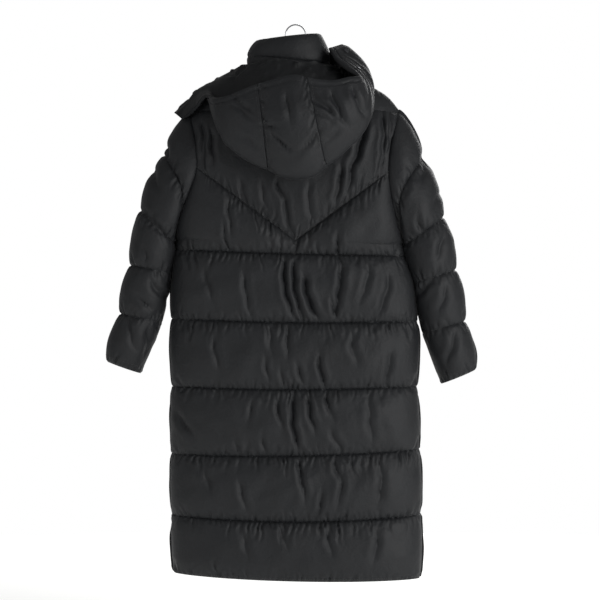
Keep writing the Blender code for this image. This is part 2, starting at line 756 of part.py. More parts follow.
def build_back_yoke(material, collection):
    """The yoke over the shoulder blades, cut to a V."""
    shares = back_shares()
    grid = shoulder_grid(shares, -1)
    keep_to_side(grid, -1)
    normals = seam_normals(grid, shares, -1, True)
    below = panel_grid(shares, -1)
    keep_to_side(below, -1)
    normals[-1] = seam_normals(below, shares, -1, False)[0]
    outward = shoulder_thickness(grid, shares, YOKE_PUFF, YOKE_FOLDS)
    inward = np.full(grid.shape[:2], LINING_IN)
    mesh = wall_mesh("back_yoke", grid, normals, outward, inward, range(YOKE_ROWS + 1))
    return add_object("back_yoke", mesh, material, collection)


def front_grid(side):
    """Base points of one whole front, from the shoulder to the hem."""
    shares = front_shares(side)
    upper = shoulder_grid(shares, 1)
    lower = panel_grid(shares, 1)
    grid = np.concatenate([upper, lower[1:]])
    zip_side(grid, side)
    keep_to_side(grid, 1)
    return grid, shares


def build_front(name, side, material, collection):
    """One front: a shoulder part and six channels in one piece."""
    grid, shares = front_grid(side)
    upper_normals = seam_normals(grid, shares, 1, True)
    upper = shoulder_thickness(grid[:YOKE_ROWS + 1], shares, YOKE_PUFF, ())
    lower = channel_thickness(grid[YOKE_ROWS:], shares, FRONT_PUFF, FRONT_EDGE_PUFF,
                              FRONT_SEED, ())
    outward = np.concatenate([upper, lower[1:]])
    outward[:, -1] = STITCH_OUT
    outward[:, -2] = STITCH_OUT + (outward[:, -2] - STITCH_OUT) * ZIP_SIDE_PUFF
    inward = np.full(grid.shape[:2], LINING_IN)
    inner = tuple(range(YOKE_ROWS)) + tuple(YOKE_ROWS + row for row in inner_rows_of_panel())
    mesh = wall_mesh(name, grid, upper_normals, outward, inward, inner)
    return add_object(name, mesh, material, collection)


# ---------------------------------------------------------------- sleeves
def armhole_line(side):
    """The armhole's edge, from the shoulder down the back and up the front again."""
    share = np.array([float(side)])
    upper = shoulder_grid(share, -1)[:, 0]
    lower = panel_grid(share, -1)[:UNDERARM_ROW + 1, 0]
    line = np.concatenate([upper, lower[1:]])
    front = line[-2:0:-1] * (1, -1, 1)
    ring = np.concatenate([line, front])
    normals = np.roll(ring, -1, axis=0) - np.roll(ring, 1, axis=0)
    normals = np.stack([np.zeros(len(ring)), normals[:, 2], -normals[:, 1]], axis=1)
    outward = ring - ring.mean(axis=0)
    outward[:, 0] = 0
    flip = np.sign((normals * outward).sum(axis=1))
    return ring, unit(normals * flip[:, None]), len(line)


def ring_angles(ring, back_count):
    """An angle for each point of the armhole, by its distance along the edge."""
    closed = np.concatenate([ring, ring[:1]])
    run = np.concatenate([[0], np.cumsum(np.linalg.norm(np.diff(closed, axis=0), axis=1))])
    back = run[back_count - 1]
    whole = run[-1]
    return np.array([math.pi * value / back if value <= back
                     else math.pi * (1 + (value - back) / (whole - back))
                     for value in run[:-1]])


def sleeve_ring(ring, angles):
    """Points of one stitch line round the sleeve."""
    outer = np.array([ring.outer_x, ring.y, ring.outer_z])
    inner = np.array([ring.inner_x, ring.y, ring.inner_z])
    middle = (outer + inner) / 2
    reach = (outer - inner) / 2
    back = np.array([0, -ring.half_depth, 0])
    return middle + np.cos(angles)[:, None] * reach + np.sin(angles)[:, None] * back


def build_sleeve(name, side, rings, material, collection):
    """One sleeve: a cap of two channels, then three more down to the cuff."""
    armhole, edge_normals, back_count = armhole_line(side)
    low = np.clip(1 - (armhole[:, 2] - armhole[:, 2].min()) / UNDERARM_REACH, 0, 1)
    armhole = armhole + np.outer(side * (2.6 * SEAM_GAP + UNDERARM_GAP * low), (1, 0, 0))
    angles = ring_angles(armhole, back_count)
    first = sleeve_ring(rings[0], angles)
    top = (1 + np.cos(angles)) / 2
    split = CAP_SPLIT_UNDER + CAP_SPLIT_TOP * top
    rows, swell = [], []
    outward_way = unit(first - first.mean(axis=0))
    for part, (start, end) in enumerate(((np.zeros_like(split), split),
                                         (split, np.ones_like(split)))):
        for step in range(0 if part == 0 else 1, CAP_ROWS + 1):
            t = step / CAP_ROWS
            share = start + (end - start) * t
            line = armhole + (first - armhole) * share[:, None]
            bulge = CAP_BULGE * np.sin(math.pi * share) * top
            away = ARMHOLE_STEP * np.sin(math.pi * np.sqrt(share)) * (1 - top)
            line[:, 0] += side * away
            rows.append(line + outward_way * bulge[:, None])
            size = np.linalg.norm(first - armhole, axis=1) * (end - start)
            full = np.minimum(SLEEVE_PUFF, CAP_PUFF_LIMIT * size)
            swell.append(full * channel_swell(t))
    previous = first
    for ring in rings[1:]:
        target = sleeve_ring(ring, angles)
        for t in SLEEVE_ROWS[1:]:
            rows.append(previous + (target - previous) * t)
            swell.append(np.full(len(angles), SLEEVE_PUFF * channel_swell(t)))
        previous = target
    grid = np.array(rows)
    middle = grid.mean(axis=1, keepdims=True)
    normals = surface_normals(grid, middle, wrap=True)
    normals[0] = edge_normals
    body_side = SLEEVE_INNER_PUFF + (1 - SLEEVE_INNER_PUFF) * np.clip(
        (1 + np.cos(angles)) / SLEEVE_INNER_EASE, 0, 1)
    rows_down = np.arange(len(grid))[:, None]
    ripple = 1 + SLEEVE_RIPPLE * np.sin(angles * 5 + rows_down * 1.3) * np.sin(angles * 2 + 0.7)
    outward = STITCH_OUT + np.array(swell) * body_side * ripple
    inward = np.full(grid.shape[:2], LINING_IN)
    inward[0] = STITCH_OUT
    inner = tuple(range(0, 2 * CAP_ROWS + 1, 2)) + tuple(
        range(2 * CAP_ROWS + len(SLEEVE_ROWS) - 1, len(grid), len(SLEEVE_ROWS) - 1))
    mesh = wall_mesh(name, grid, normals, outward, inward, inner, wrap=True)
    return add_object(name, mesh, material, collection)


# ---------------------------------------------------------------- collar
def collar_level(ring, angles, faces):
    """Points of one level of the collar; an angle is 0 in the middle, 90 at a side."""
    x = ring.x + ring.half_width * np.sin(angles)
    y = faces * ring.half_depth * np.cos(angles)
    z = (ring.z_left + ring.z_right) / 2 + (ring.z_right - ring.z_left) / 2 * np.sin(angles)
    return np.stack([x, y, z], axis=1)


def neck_edge():
    """The neck seam's points, from the left front round the back to the right front."""
    back = [s for s in back_shares() if abs(s) <= NECK_SHARE + 1e-9]
    left = [s for s in front_shares(-1) if abs(s) < NECK_SHARE - 1e-9][::-1]
    right = [s for s in front_shares(1) if abs(s) < NECK_SHARE - 1e-9]
    line, angles, faces = [], [], []
    for shares, face in ((left, 1), (back, -1), (right, 1)):
        for s in shares:
            line.append(shoulder_point(s, 0.0, face))
            angles.append(s / NECK_SHARE * math.pi / 2)
            faces.append(face)
    line = np.array(line)
    line[0, 0] = -ZIP_HALF_GAP
    line[-1, 0] = ZIP_HALF_GAP
    return line, np.array(angles), np.array(faces)


def build_collar(material, collection):
    """The stand collar: a lower and an upper channel, open in front for the zip."""
    base, angles, faces = neck_edge()
    base = base + np.array([0, 0, 2 * SEAM_GAP])
    levels = [collar_level(ring, angles, faces) for ring in (COLLAR_STITCH, COLLAR_TOP)]
    for ring, level in zip((COLLAR_STITCH, COLLAR_TOP), levels):
        level[0] = (ring.x - ZIP_HALF_GAP, ring.half_depth, level[0, 2])
        level[-1] = (ring.x + ZIP_HALF_GAP, ring.half_depth, level[-1, 2])
    rows, swell = [base], [0.0]
    previous = base
    for level in levels:
        for t in COLLAR_ROWS[1:]:
            rows.append(previous + (level - previous) * t)
            full = COLLAR_PUFF * (COLLAR_LOWER_PUFF if level is levels[0] else 1.0)
            swell.append(full * channel_swell(t))
        previous = level
    grid = np.array(rows)
    middle = grid.mean(axis=1, keepdims=True)
    normals = surface_normals(grid, middle)
    normals[0] = np.stack([np.sin(angles), faces * np.cos(angles), 0 * angles], axis=1)
    normals[:, (0, -1), 0] = 0.0
    normals = unit(normals)
    outward = STITCH_OUT + np.array(swell)[:, None] * np.ones(len(angles))
    outward[:, (0, -1)] = STITCH_OUT
    inward = np.full(grid.shape[:2], LINING_IN)
    inner = range(0, len(grid), len(COLLAR_ROWS) - 1)
    mesh = wall_mesh("collar", grid, normals, outward, inward, tuple(inner))
    add_object("collar", mesh, material, collection)
    return grid


# ---------------------------------------------------------------- hood
def hood_columns():
    """The hood's stations with the columns between them, on a smooth curve."""
    table = np.array(HOOD)
    places = np.arange(len(HOOD), dtype=float)
    steps = np.linspace(0, len(HOOD) - 1, (len(HOOD) - 1) * HOOD_SUBSTEPS + 1)
    return np.stack([smooth_value(steps, places, table[:, k]) for k in range(9)], axis=1)


def collar_reach(point, room):
    """How far out a point is, with 1 for the collar's surface plus a room, and the middle."""
    share = np.clip((point[2] - COLLAR_FOOT_Z) / COLLAR_NARROWING, 0, 1)
    middle = COLLAR_STITCH.x * share
    half_width = NECK_HALF_WIDTH + (COLLAR_STITCH.half_width - NECK_HALF_WIDTH) * share
    reach = math.hypot((point[0] - middle) / (half_width + room),
                       point[1] / (COLLAR_STITCH.half_depth + room))
    return reach, middle


def sewn_to_collar(point):
    """Draw a point of the hood's neck edge in to the collar it is sewn to."""
    reach, middle = collar_reach(point, HOOD_SEAM_ROOM)
    share = (np.clip((HOOD_SEWN_REACH - reach) / HOOD_SEWN_FADE, 0, 1)
             * np.clip(1 + (HOOD_SEWN_Y - point[1]) / HOOD_SEWN_DEPTH, 0, 1))
    drawn = np.array([middle + (point[0] - middle) / reach, point[1] / reach, point[2]])
    return point + (drawn - point) * share


def lift_off(point):
    """Move a point of the hood out until its padding clears the collar and the back."""
    x, y, z = point
    reach, middle = collar_reach(point, HOOD_ROOM)
    if z > COLLAR_CLEAR_Z and 0.01 < reach < 1:
        x = middle + (x - middle) / reach
        y = y / reach
    top = float(shoulder_height(x)) + HOOD_ROOM
    depth = torso_value(min(z, ARMHOLE_TOP), "back") + HOOD_ROOM
    centre_z = top - HOOD_ROOM - HOOD_LIFT_DEPTH
    for scale in 1 + np.arange(HOOD_LIFT_STEPS) / 100:
        new_y = y * scale
        new_z = centre_z + (z - centre_z) * scale if z > centre_z else z
        wall = depth * quarter_round((top - new_z) / (SHOULDER_ROLL + HOOD_ROOM))
        if abs(new_y) >= wall:
            return np.array([x, new_y, new_z])
    return np.array([x, y, z])


def hood_loop(station):
    """One line over the hood: down beside the coat's back and up again to the rim."""
    neck, low, rim = station[0:3], station[3:6], station[6:9]
    depth = max(min(neck[2], rim[2]) - low[2], 0.0)
    roll = depth * HOOD_INNER_BOW
    near = neck + (low - neck) * HOOD_NEAR_SHARE + np.array([0, roll * HOOD_NEAR_SHARE, 0])
    far = low + (rim - low) * HOOD_FAR_SHARE + np.array([0, -roll, 0])
    knots = np.array([neck, near, low, far, rim])
    run = np.concatenate([[0], np.cumsum(np.linalg.norm(np.diff(knots, axis=0), axis=1))])
    places = np.linspace(0, run[-1], HOOD_LOOP_ROWS + 1)
    loop = np.stack([smooth_value(places, run, knots[:, k]) for k in range(3)], axis=1)
    loop = np.array([lift_off(point) for point in loop])
    loop[0] = sewn_to_collar(loop[0])
    return loop


def hood_surface():
    """The face between the hood's shell and its lining, and its outward normals."""
    grid = np.stack([hood_loop(station) for station in hood_columns()], axis=1)
    normals = surface_normals(grid, np.zeros(3))
    middle = grid.shape[1] // 2
    if normals[-2, middle, 1] > 0:
        normals = -normals
    return grid, normals


def hood_swell(row_shares, column_shares_across):
    """How far a panel's padding stands out, by rows down the loop and columns across."""
    along = (np.clip(4 * row_shares * (1 - row_shares), 0, 1) ** 0.5
             * np.clip(HOOD_PUFF_RISE * row_shares - HOOD_PUFF_START, 0, 1))
    across = np.clip(4 * column_shares_across * (1 - column_shares_across),
                     0, 1) ** HOOD_PUFF_CURVE
    return HOOD_PUFF * np.outer(along, across)


def build_hood(shell_material, lining_material, collection):
    """The hood's three panels and its lining, hanging down the back."""
    grid, normals = hood_surface()
    edges = (0, HOOD_SEAM_LEFT * HOOD_SUBSTEPS, HOOD_SEAM_RIGHT * HOOD_SUBSTEPS,
             grid.shape[1] - 1)
    rows = np.arange(len(grid)) / (len(grid) - 1)
    for name, start, end in zip(("hood_left", "hood_centre", "hood_right"),
                                edges[:-1], edges[1:]):
        part = grid[:, start:end + 1].copy()
        if start > 0:
            part[:, 0] += unit(grid[:, start + 1] - grid[:, start - 1]) * HOOD_PANEL_GAP
        if end < grid.shape[1] - 1:
            part[:, -1] -= unit(grid[:, end + 1] - grid[:, end - 1]) * HOOD_PANEL_GAP
        outward = HOOD_WALL + hood_swell(rows, np.linspace(0, 1, end - start + 1))
        inward = np.zeros(part.shape[:2])
        mesh = wall_mesh(name, part, normals[:, start:end + 1], outward, inward,
                         range(len(part)))
        add_object(name, mesh, shell_material, collection)
    inner = grid - normals * SEAM_GAP
    mesh = wall_mesh("hood_lining", inner, -normals, np.full(grid.shape[:2], HOOD_LINING),
                     np.zeros(grid.shape[:2]), range(len(grid)))
    add_object("hood_lining", mesh, lining_material, collection)


# ---------------------------------------------------------------- hanger
def wire(name, points, radius, material, collection):
    """A round wire along points, with filled ends."""
    curve = bpy.data.curves.new(name, "CURVE")
    curve.dimensions = "3D"
    curve.bevel_depth = radius
    curve.bevel_resolution = 2
    curve.use_fill_caps = True
    line = curve.splines.new("POLY")
    line.points.add(len(points) - 1)
    for target, point in zip(line.points, points):
        target.co = (*point, 1.0)
    return add_object(name, curve, material, collection)


def build_hook(material, collection):
    """The hook: an arc open at one side, then the stem down into the hanger."""
    centre_z = -HOOK_WIRE - HOOK_RADIUS
    points = []
    for step in range(HOOK_POINTS):
        angle = math.radians(HOOK_START + step * HOOK_STEP)
        points.append((HOOK_RADIUS * math.cos(angle), 0.0,
                       centre_z + HOOK_RADIUS * math.sin(angle)))
    stem_top = points[-1]
    bottom = hanger_top(0.0) + SEAM_GAP
    points.append((stem_top[0] * HOOK_BEND_SHARE, 0.0, stem_top[2] - HOOK_BEND_DROP))
    points.append((0.0, 0.0, stem_top[2] - 2 * HOOK_BEND_DROP))
    points.append((0.0, 0.0, bottom))
    return wire("hanger_hook", points, HOOK_WIRE, material, collection)


def hanger_top(x):
    """Height of the hanger's upper edge, just under the cloth of the shoulders."""
    if abs(x) < NECK_HALF_WIDTH:
        edge = float(shoulder_height(NECK_HALF_WIDTH)) + HANGER_NECK_RISE * (
            1 - (x / NECK_HALF_WIDTH) ** 2)
    else:
        edge = float(shoulder_height(x))
    return edge - LINING_IN - 4 * SEAM_GAP


def build_hanger(material, collection):
    """The hanger's body: an oval bar that follows the shoulders inside the coat."""
    places = np.linspace(-HANGER_REACH, HANGER_REACH, HANGER_STATIONS)
    around = np.linspace(0, 2 * math.pi, HANGER_SIDES + 1)[:-1]
    rings = []
    for x in places:
        taper = math.sqrt(max(1 - (abs(x) / (HANGER_REACH + HANGER_TIP)) ** HANGER_TIP_CURVE,
                              HANGER_TIP_LEAST))
        ring = np.stack([np.full(len(around), x),
                         HANGER_HALF_DEPTH * taper * np.cos(around),
                         hanger_top(x) - HANGER_HALF_HEIGHT * (1 - taper * np.sin(around))],
                        axis=1)
        rings.append(ring)
    count = len(around)
    vertices = np.concatenate(rings)
    faces = [tuple(range(count)), tuple(range(len(vertices) - 1, len(vertices) - 1 - count, -1))]
    for ring in range(len(rings) - 1):
        for k in range(count):
            after = (k + 1) % count
            faces.append((ring * count + k, (ring + 1) * count + k,
                          (ring + 1) * count + after, ring * count + after))
    mesh = closed_mesh("hanger_arms", vertices, faces)
    add_object("hanger_arms", mesh, material, collection)


# ---------------------------------------------------------------- zips
def sweep(name, centres, across, outs, outlines, material, collection):
    """A solid swept along points; an outline's values lie across and outwards."""
    rings = [centre + np.outer([a for a, _ in outline], across)
             + np.outer([b for _, b in outline], out)
             for centre, out, outline in zip(centres, outs, outlines)]
    count = len(outlines[0])
    total = count * len(rings)
    faces = [tuple(range(count)), tuple(range(total - count, total))]
    for ring in range(len(rings) - 1):
        for k in range(count):
            after = (k + 1) % count
            faces.append((ring * count + k, (ring + 1) * count + k,
                          (ring + 1) * count + after, ring * count + after))
    mesh = closed_mesh(name, np.concatenate(rings), faces)
    return add_object(name, mesh, material, collection)


def path_outs(centres, across, outward):
    """Directions that stand out from a path, square to it."""
    tangents = np.gradient(centres, axis=0)
    outs = unit(np.cross(tangents, across))
    return outs * np.sign(outs @ outward)[:, None]


def build_tape(name, centres, across, outward, width, material, collection):
    """Half a zip: its tape under the cloth and its row of teeth in the gap."""
    near = SEAM_GAP / 2
    outline = [(near, -TAPE_THICK), (width, -TAPE_THICK), (width, 0.0),
               (TEETH_WIDTH, 0.0), (TEETH_WIDTH, TEETH_HEIGHT), (near, TEETH_HEIGHT)]
    outs = path_outs(centres, across, outward)
    return sweep(name, centres, across, outs, [outline] * len(centres), material, collection)


def build_slider(place, centre, down, across, outward, material, collection):
    """A zip's slider with its post, and the pull tab that hinges beside the post."""
    base = TEETH_HEIGHT + SEAM_GAP
    top = base + SLIDER_THICK
    centres, outlines = [], []
    post_foot = POST_HALF_LENGTH + SLIDER_EDGE
    for run, post in ((-SLIDER_HALF_LENGTH, SLIDER_EDGE), (-post_foot, SLIDER_EDGE),
                      (-POST_HALF_LENGTH, POST_HEIGHT), (POST_HALF_LENGTH, POST_HEIGHT),
                      (post_foot, SLIDER_EDGE), (SLIDER_HALF_LENGTH, SLIDER_EDGE)):
        wide, narrow = SLIDER_HALF_WIDTH, POST_HALF_WIDTH
        centres.append(centre + down * run)
        outlines.append([(-wide, base), (wide, base), (wide, top), (narrow, top),
                         (narrow, top + post), (-narrow, top + post), (-narrow, top),
                         (-wide, top)])
    sweep(place + "_slider", centres, across, [outward] * len(centres), outlines,
          material, collection)
    inner, outer = POST_HALF_WIDTH + SEAM_GAP, PULL_HALF_WIDTH
    ear, corner = PULL_THICK, PULL_CORNER
    outline = [(-outer, ear), (-inner, ear), (-inner, -PULL_SLOT), (inner, -PULL_SLOT),
               (inner, ear), (outer, ear), (outer, -PULL_LENGTH + corner),
               (outer - corner, -PULL_LENGTH), (corner - outer, -PULL_LENGTH),
               (-outer, -PULL_LENGTH + corner)]
    curve = bpy.data.curves.new(place + "_pull", "CURVE")
    curve.dimensions = "2D"
    curve.fill_mode = "BOTH"
    curve.extrude = PULL_THICK / 2
    line = curve.splines.new("POLY")
    line.points.add(len(outline) - 1)
    for target, (a, b) in zip(line.points, outline):
        target.co = (a, b, 0.0, 1.0)
    line.use_cyclic_u = True
    pull = add_object(place + "_pull", curve, material, collection)
    axis = Vector(centre + outward * (top + PULL_AXIS))
    turn = Matrix((across, -down, outward)).transposed().to_4x4()
    if turn.determinant() < 0:
        turn = Matrix((-across, -down, outward)).transposed().to_4x4()
    pull.matrix_world = Matrix.Translation(axis) @ turn
    return pull


def front_zip_path(collar_grid):
    """The front zip's middle line, from the hem to the collar's upper edge."""
    left = front_grid(-1)[0][:, -1]
    right = front_grid(1)[0][:, -1]
    rows = list(range(1, YOKE_ROWS)) + [YOKE_ROWS + row for row in inner_rows_of_panel()]
    front = ((left + right) / 2)[rows[::-1]]
    front[0, 2] += FRONT_TAPE_FOOT
    steps = len(COLLAR_ROWS) - 1
    collar = ((collar_grid[:, 0] + collar_grid[:, -1]) / 2)[[steps, 2 * steps]]
    collar[-1, 2] -= FRONT_TAPE_HEAD
    path = np.concatenate([front, (left[:1] + right[:1]) / 2, collar])
    outs = path_outs(path, np.array([1.0, 0, 0]), np.array([0, 1.0, 0]))
    return path - outs * (LINING_IN + TAPE_DROP)


def build_front_zip(collar_grid, tape_material, metal, collection):
    """The front zip, closed up to the collar's upper edge."""
    path = front_zip_path(collar_grid)
    outward = np.array([0, 1.0, 0])
    for name, side in (("front_tape_left", -1), ("front_tape_right", 1)):
        build_tape(name, path, np.array([side, 0, 0.0]), outward, FRONT_TAPE,
                   tape_material, collection)
    along = unit(path[-2] - path[-1])
    across = np.array([1.0, 0, 0])
    out = path_outs(path[-2:], across, outward)[0]
    build_slider("front", path[-1] + along * FRONT_SLIDER_DROP,
                 unit(along - across * along[0]), across, out, metal, collection)


def build_side_zip(place, side, tape_material, metal, collection):
    """A side zip: closed over the slider, its two halves apart below it."""
    across = np.array([0, 1.0, 0])
    outward = np.array([side, 0, 0.0])
    first = SIDE_ZIP_CHANNELS * (len(PUFF_ROWS) - 1)
    rows = [row for row in inner_rows_of_panel() if row >= first]
    share = np.array([float(side)])
    for name, face in (("back", -1), ("front", 1)):
        edge = panel_grid(share, face)[rows, 0]
        edge[:, 1] = [face * (seam_offset(z) - ZIP_HALF_GAP) for z in edge[:, 2]]
        edge[:, 0] -= side * (LINING_IN + TAPE_DROP)
        edge[0, 2] -= SIDE_TAPE_HEAD
        edge[-1, 2] += SIDE_TAPE_FOOT
        build_tape(f"{place}_tape_{name}", edge, across * face, outward, SIDE_TAPE,
                   tape_material, collection)
    x = np.interp(-SIDE_SLIDER_Z, -edge[:, 2], edge[:, 0])
    build_slider(place, np.array([x, 0.0, SIDE_SLIDER_Z]), np.array([0, 0, -1.0]), across,
                 outward, metal, collection)


def build_snap(name, column, row, material, collection):
    """A press stud on the shell of the hood's right end."""
    grid, normals = hood_surface()
    normal = Vector(normals[row, column])
    last_row, columns = len(grid) - 1, (len(HOOD) - 1 - HOOD_SEAM_RIGHT) * HOOD_SUBSTEPS
    swell = hood_swell(np.array([(last_row + 1 + row) / last_row]),
                       np.array([(columns + 1 + column) / columns]))[0, 0]
    place = Vector(grid[row, column]) + normal * (
        HOOD_WALL + swell + SNAP_HALF_THICK + SNAP_LIFT)
    mesh = bpy.data.meshes.new(name)
    shape = bmesh.new()
    bmesh.ops.create_cone(shape, cap_ends=True, segments=SNAP_SIDES, radius1=SNAP_RADIUS,
                          radius2=SNAP_RADIUS * SNAP_TOP_SHARE, depth=2 * SNAP_HALF_THICK)
    shape.to_mesh(mesh)
    shape.free()
    stud = add_object(name, mesh, material, collection)
    stud.location = place
    stud.rotation_euler = normal.to_track_quat("Z", "Y").to_euler()
    return stud


def main():
    """Build the coat and its hanger."""
    clear_scene()
    coat = bpy.data.collections.new("long_puffer_coat")
    bpy.context.scene.collection.children.link(coat)
    nylon = make_material("quilted_nylon", NYLON)
    lining = make_material("nylon_lining", LINING)
    steel = make_material("bright_steel", STEEL)
    plastic = make_material("black_plastic", PLASTIC)
    tape = make_material("zip_tape", TAPE)
    nickel = make_material("dark_nickel", NICKEL)
    build_back_yoke(nylon, coat)
    build_back_panel(nylon, coat)
    build_front("front_left", -1, nylon, coat)
    build_front("front_right", 1, nylon, coat)
    build_sleeve("sleeve_left", -1, SLEEVE_LEFT, nylon, coat)
    build_sleeve("sleeve_right", 1, SLEEVE_RIGHT, nylon, coat)
    collar_grid = build_collar(nylon, coat)
    build_front_zip(collar_grid, tape, nickel, coat)
    build_side_zip("side_left", -1, tape, nickel, coat)
    build_side_zip("side_right", 1, tape, nickel, coat)
    build_hood(nylon, lining, coat)
    build_snap("hood_snap_upper", SNAP_UPPER_COLUMN, SNAP_ROW, nickel, coat)
    build_snap("hood_snap_lower", SNAP_LOWER_COLUMN, SNAP_ROW, nickel, coat)
    build_hook(steel, coat)
    build_hanger(plastic, coat)


main()
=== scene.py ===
"""Dresses a long quilted puffer coat that hangs on a plain hanger.

The coat's walls follow the base surface of its solids.  Each channel is swollen between
its stitching, pulled into gathers off the needle holes and pressed in by long creases.
Metres, +Z up.  The origin is where the rod carries the hook, the coat's back looks to -Y.
"""
from __future__ import annotations

import json
import logging
import math
from dataclasses import dataclass
from enum import Enum
from typing import Callable, NamedTuple, Optional, Sequence

import bmesh
import bpy
import numpy as np
from mathutils import Matrix, Vector

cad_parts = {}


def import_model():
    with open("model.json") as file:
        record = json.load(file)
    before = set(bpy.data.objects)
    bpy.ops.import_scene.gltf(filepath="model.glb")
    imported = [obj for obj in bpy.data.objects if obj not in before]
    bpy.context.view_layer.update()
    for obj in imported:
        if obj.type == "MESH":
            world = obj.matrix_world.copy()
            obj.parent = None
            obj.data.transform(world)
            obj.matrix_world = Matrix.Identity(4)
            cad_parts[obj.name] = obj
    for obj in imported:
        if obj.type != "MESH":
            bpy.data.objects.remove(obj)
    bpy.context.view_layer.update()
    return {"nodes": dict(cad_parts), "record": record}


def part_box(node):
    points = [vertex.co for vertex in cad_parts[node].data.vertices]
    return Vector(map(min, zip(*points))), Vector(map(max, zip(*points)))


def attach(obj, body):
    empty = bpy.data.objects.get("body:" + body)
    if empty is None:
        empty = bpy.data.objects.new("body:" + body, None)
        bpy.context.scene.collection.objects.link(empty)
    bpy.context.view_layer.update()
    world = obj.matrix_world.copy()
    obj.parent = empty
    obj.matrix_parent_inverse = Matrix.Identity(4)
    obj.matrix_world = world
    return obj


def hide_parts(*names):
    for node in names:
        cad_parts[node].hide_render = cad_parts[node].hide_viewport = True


log = logging.getLogger("coat")
Array = np.ndarray
COAT_BODY = "coat"


# ---- numbers and curves
def unit(vectors: Array) -> Array:
    """Vectors of length one."""
    return vectors / np.maximum(np.linalg.norm(vectors, axis=-1, keepdims=True), 1e-12)


def smooth_value(x: Array, xs: Sequence[float], ys: Array) -> Array:
    """A smooth curve through points, with the slopes of its neighbours.

    Args:
        x: Where the curve is read.
        xs: The points' places, rising.
        ys: Their values.

    Returns:
        The curve's values at x.
    """
    xs = np.asarray(xs, float)
    ys = np.asarray(ys, float)
    slopes = np.gradient(ys, xs)
    x = np.clip(x, xs[0], xs[-1])
    k = np.clip(np.searchsorted(xs, x) - 1, 0, len(xs) - 2)
    width = xs[k + 1] - xs[k]
    t = (x - xs[k]) / width
    return ((2 * t**3 - 3 * t**2 + 1) * ys[k] + (t**3 - 2 * t**2 + t) * width * slopes[k]
            + (3 * t**2 - 2 * t**3) * ys[k + 1] + (t**3 - t**2) * width * slopes[k + 1])


def refined(grid: Array, rows: int, columns: int) -> Array:
    """A grid of points read again on more rows and columns, on smooth curves.

    Args:
        grid: The points, by row and column.
        rows: Rows to make.
        columns: Columns to make.

    Returns:
        The finer grid.
    """
    down = np.linspace(0, len(grid) - 1, rows)
    across = np.linspace(0, grid.shape[1] - 1, columns)
    tall = np.stack([np.stack([smooth_value(down, range(len(grid)), grid[:, c, k])
                               for c in range(grid.shape[1])], axis=1) for k in range(3)],
                    axis=2)
    return np.stack([np.stack([smooth_value(across, range(grid.shape[1]), tall[r, :, k])
                               for r in range(rows)]) for k in range(3)], axis=2)


def quarter_round(share: Array) -> Array:
    """Rises from 0 to 1 along a quarter of a circle."""
    return np.sqrt(np.clip(1 - (1 - np.clip(share, 0, 1)) ** 2, 0, 1))


def run_along(line: Array) -> Array:
    """The distance of each point of a line from its start."""
    return np.concatenate([[0], np.cumsum(np.linalg.norm(np.diff(line, axis=0), axis=1))])


def read_along(places: Array, run: Array, table: Array) -> Array:
    """A table of points or normals read at places along its line."""
    return np.stack([np.interp(places, run, table[:, k]) for k in range(3)], axis=-1)


def grid_runs(grid: Array, axis: int) -> Array:
    """The distance of each grid point from its row's or column's start."""
    runs = np.cumsum(np.linalg.norm(np.diff(grid, axis=axis), axis=2), axis=axis)
    return np.concatenate([0 * grid.take([0], axis)[..., 0], runs], axis=axis)


def channel_swell(t: Array) -> Array:
    """Swelling across one channel, t from 0 at its upper stitching to 1 at its lower."""
    return np.clip(4 * t * (1 - t), 0, 1) ** 0.5


def grid_normals(grid: Array, away_from: Array, wrap: bool = False) -> Array:
    """Normals of a grid of points.

    Args:
        grid: The points, by row and column.
        away_from: A point or a grid of points that the normals turn away from.
        wrap: Whether the last column meets the first.

    Returns:
        A unit normal for each point.
    """
    down = np.gradient(grid, axis=0)
    across = ((np.roll(grid, -1, axis=1) - np.roll(grid, 1, axis=1)) / 2 if wrap
              else np.gradient(grid, axis=1))
    normals = unit(np.cross(down, across))
    row, column = len(grid) // 2, grid.shape[1] // 2
    outward = (grid - away_from)[row, column]
    return normals if np.dot(normals[row, column], outward) > 0 else -normals


# ---- tables
class Section(NamedTuple):
    """The torso's section at a height: its sides, its depths and the fronts' flare."""
    z: float
    left: float
    right: float
    back: float
    front: float
    flare: float


class Height(NamedTuple):
    """A point of the shoulder line."""
    x: float
    z: float


class StitchLine(NamedTuple):
    """A stitch line round the body, at the left side, the middle and the right side."""
    left: float
    middle: float
    right: float


class Ring(NamedTuple):
    """A stitch line round a sleeve: its outer and inner ends, and its half-depth."""
    outer_x: float
    outer_z: float
    inner_x: float
    inner_z: float
    half_depth: float
    y: float


class CollarRing(NamedTuple):
    """One level of the collar: its middle, half-sizes and two side heights."""
    x: float
    half_width: float
    half_depth: float
    z_left: float
    z_right: float


class Crease(NamedTuple):
    """A long crease: its two ends, its half-width and its depth."""
    x0: float
    z0: float
    x1: float
    z1: float
    half_width: float
    depth: float


class Side(Enum):
    """The wearer's side of the coat that a piece is on, as a sign of X."""
    LEFT = -1
    RIGHT = 1


def in_metres(kind: Callable, *rows: Sequence[float]) -> tuple:
    """Rows of one kind of table, from rows in millimetres."""
    return tuple(kind(*(size / 1000 for size in row)) for row in rows)


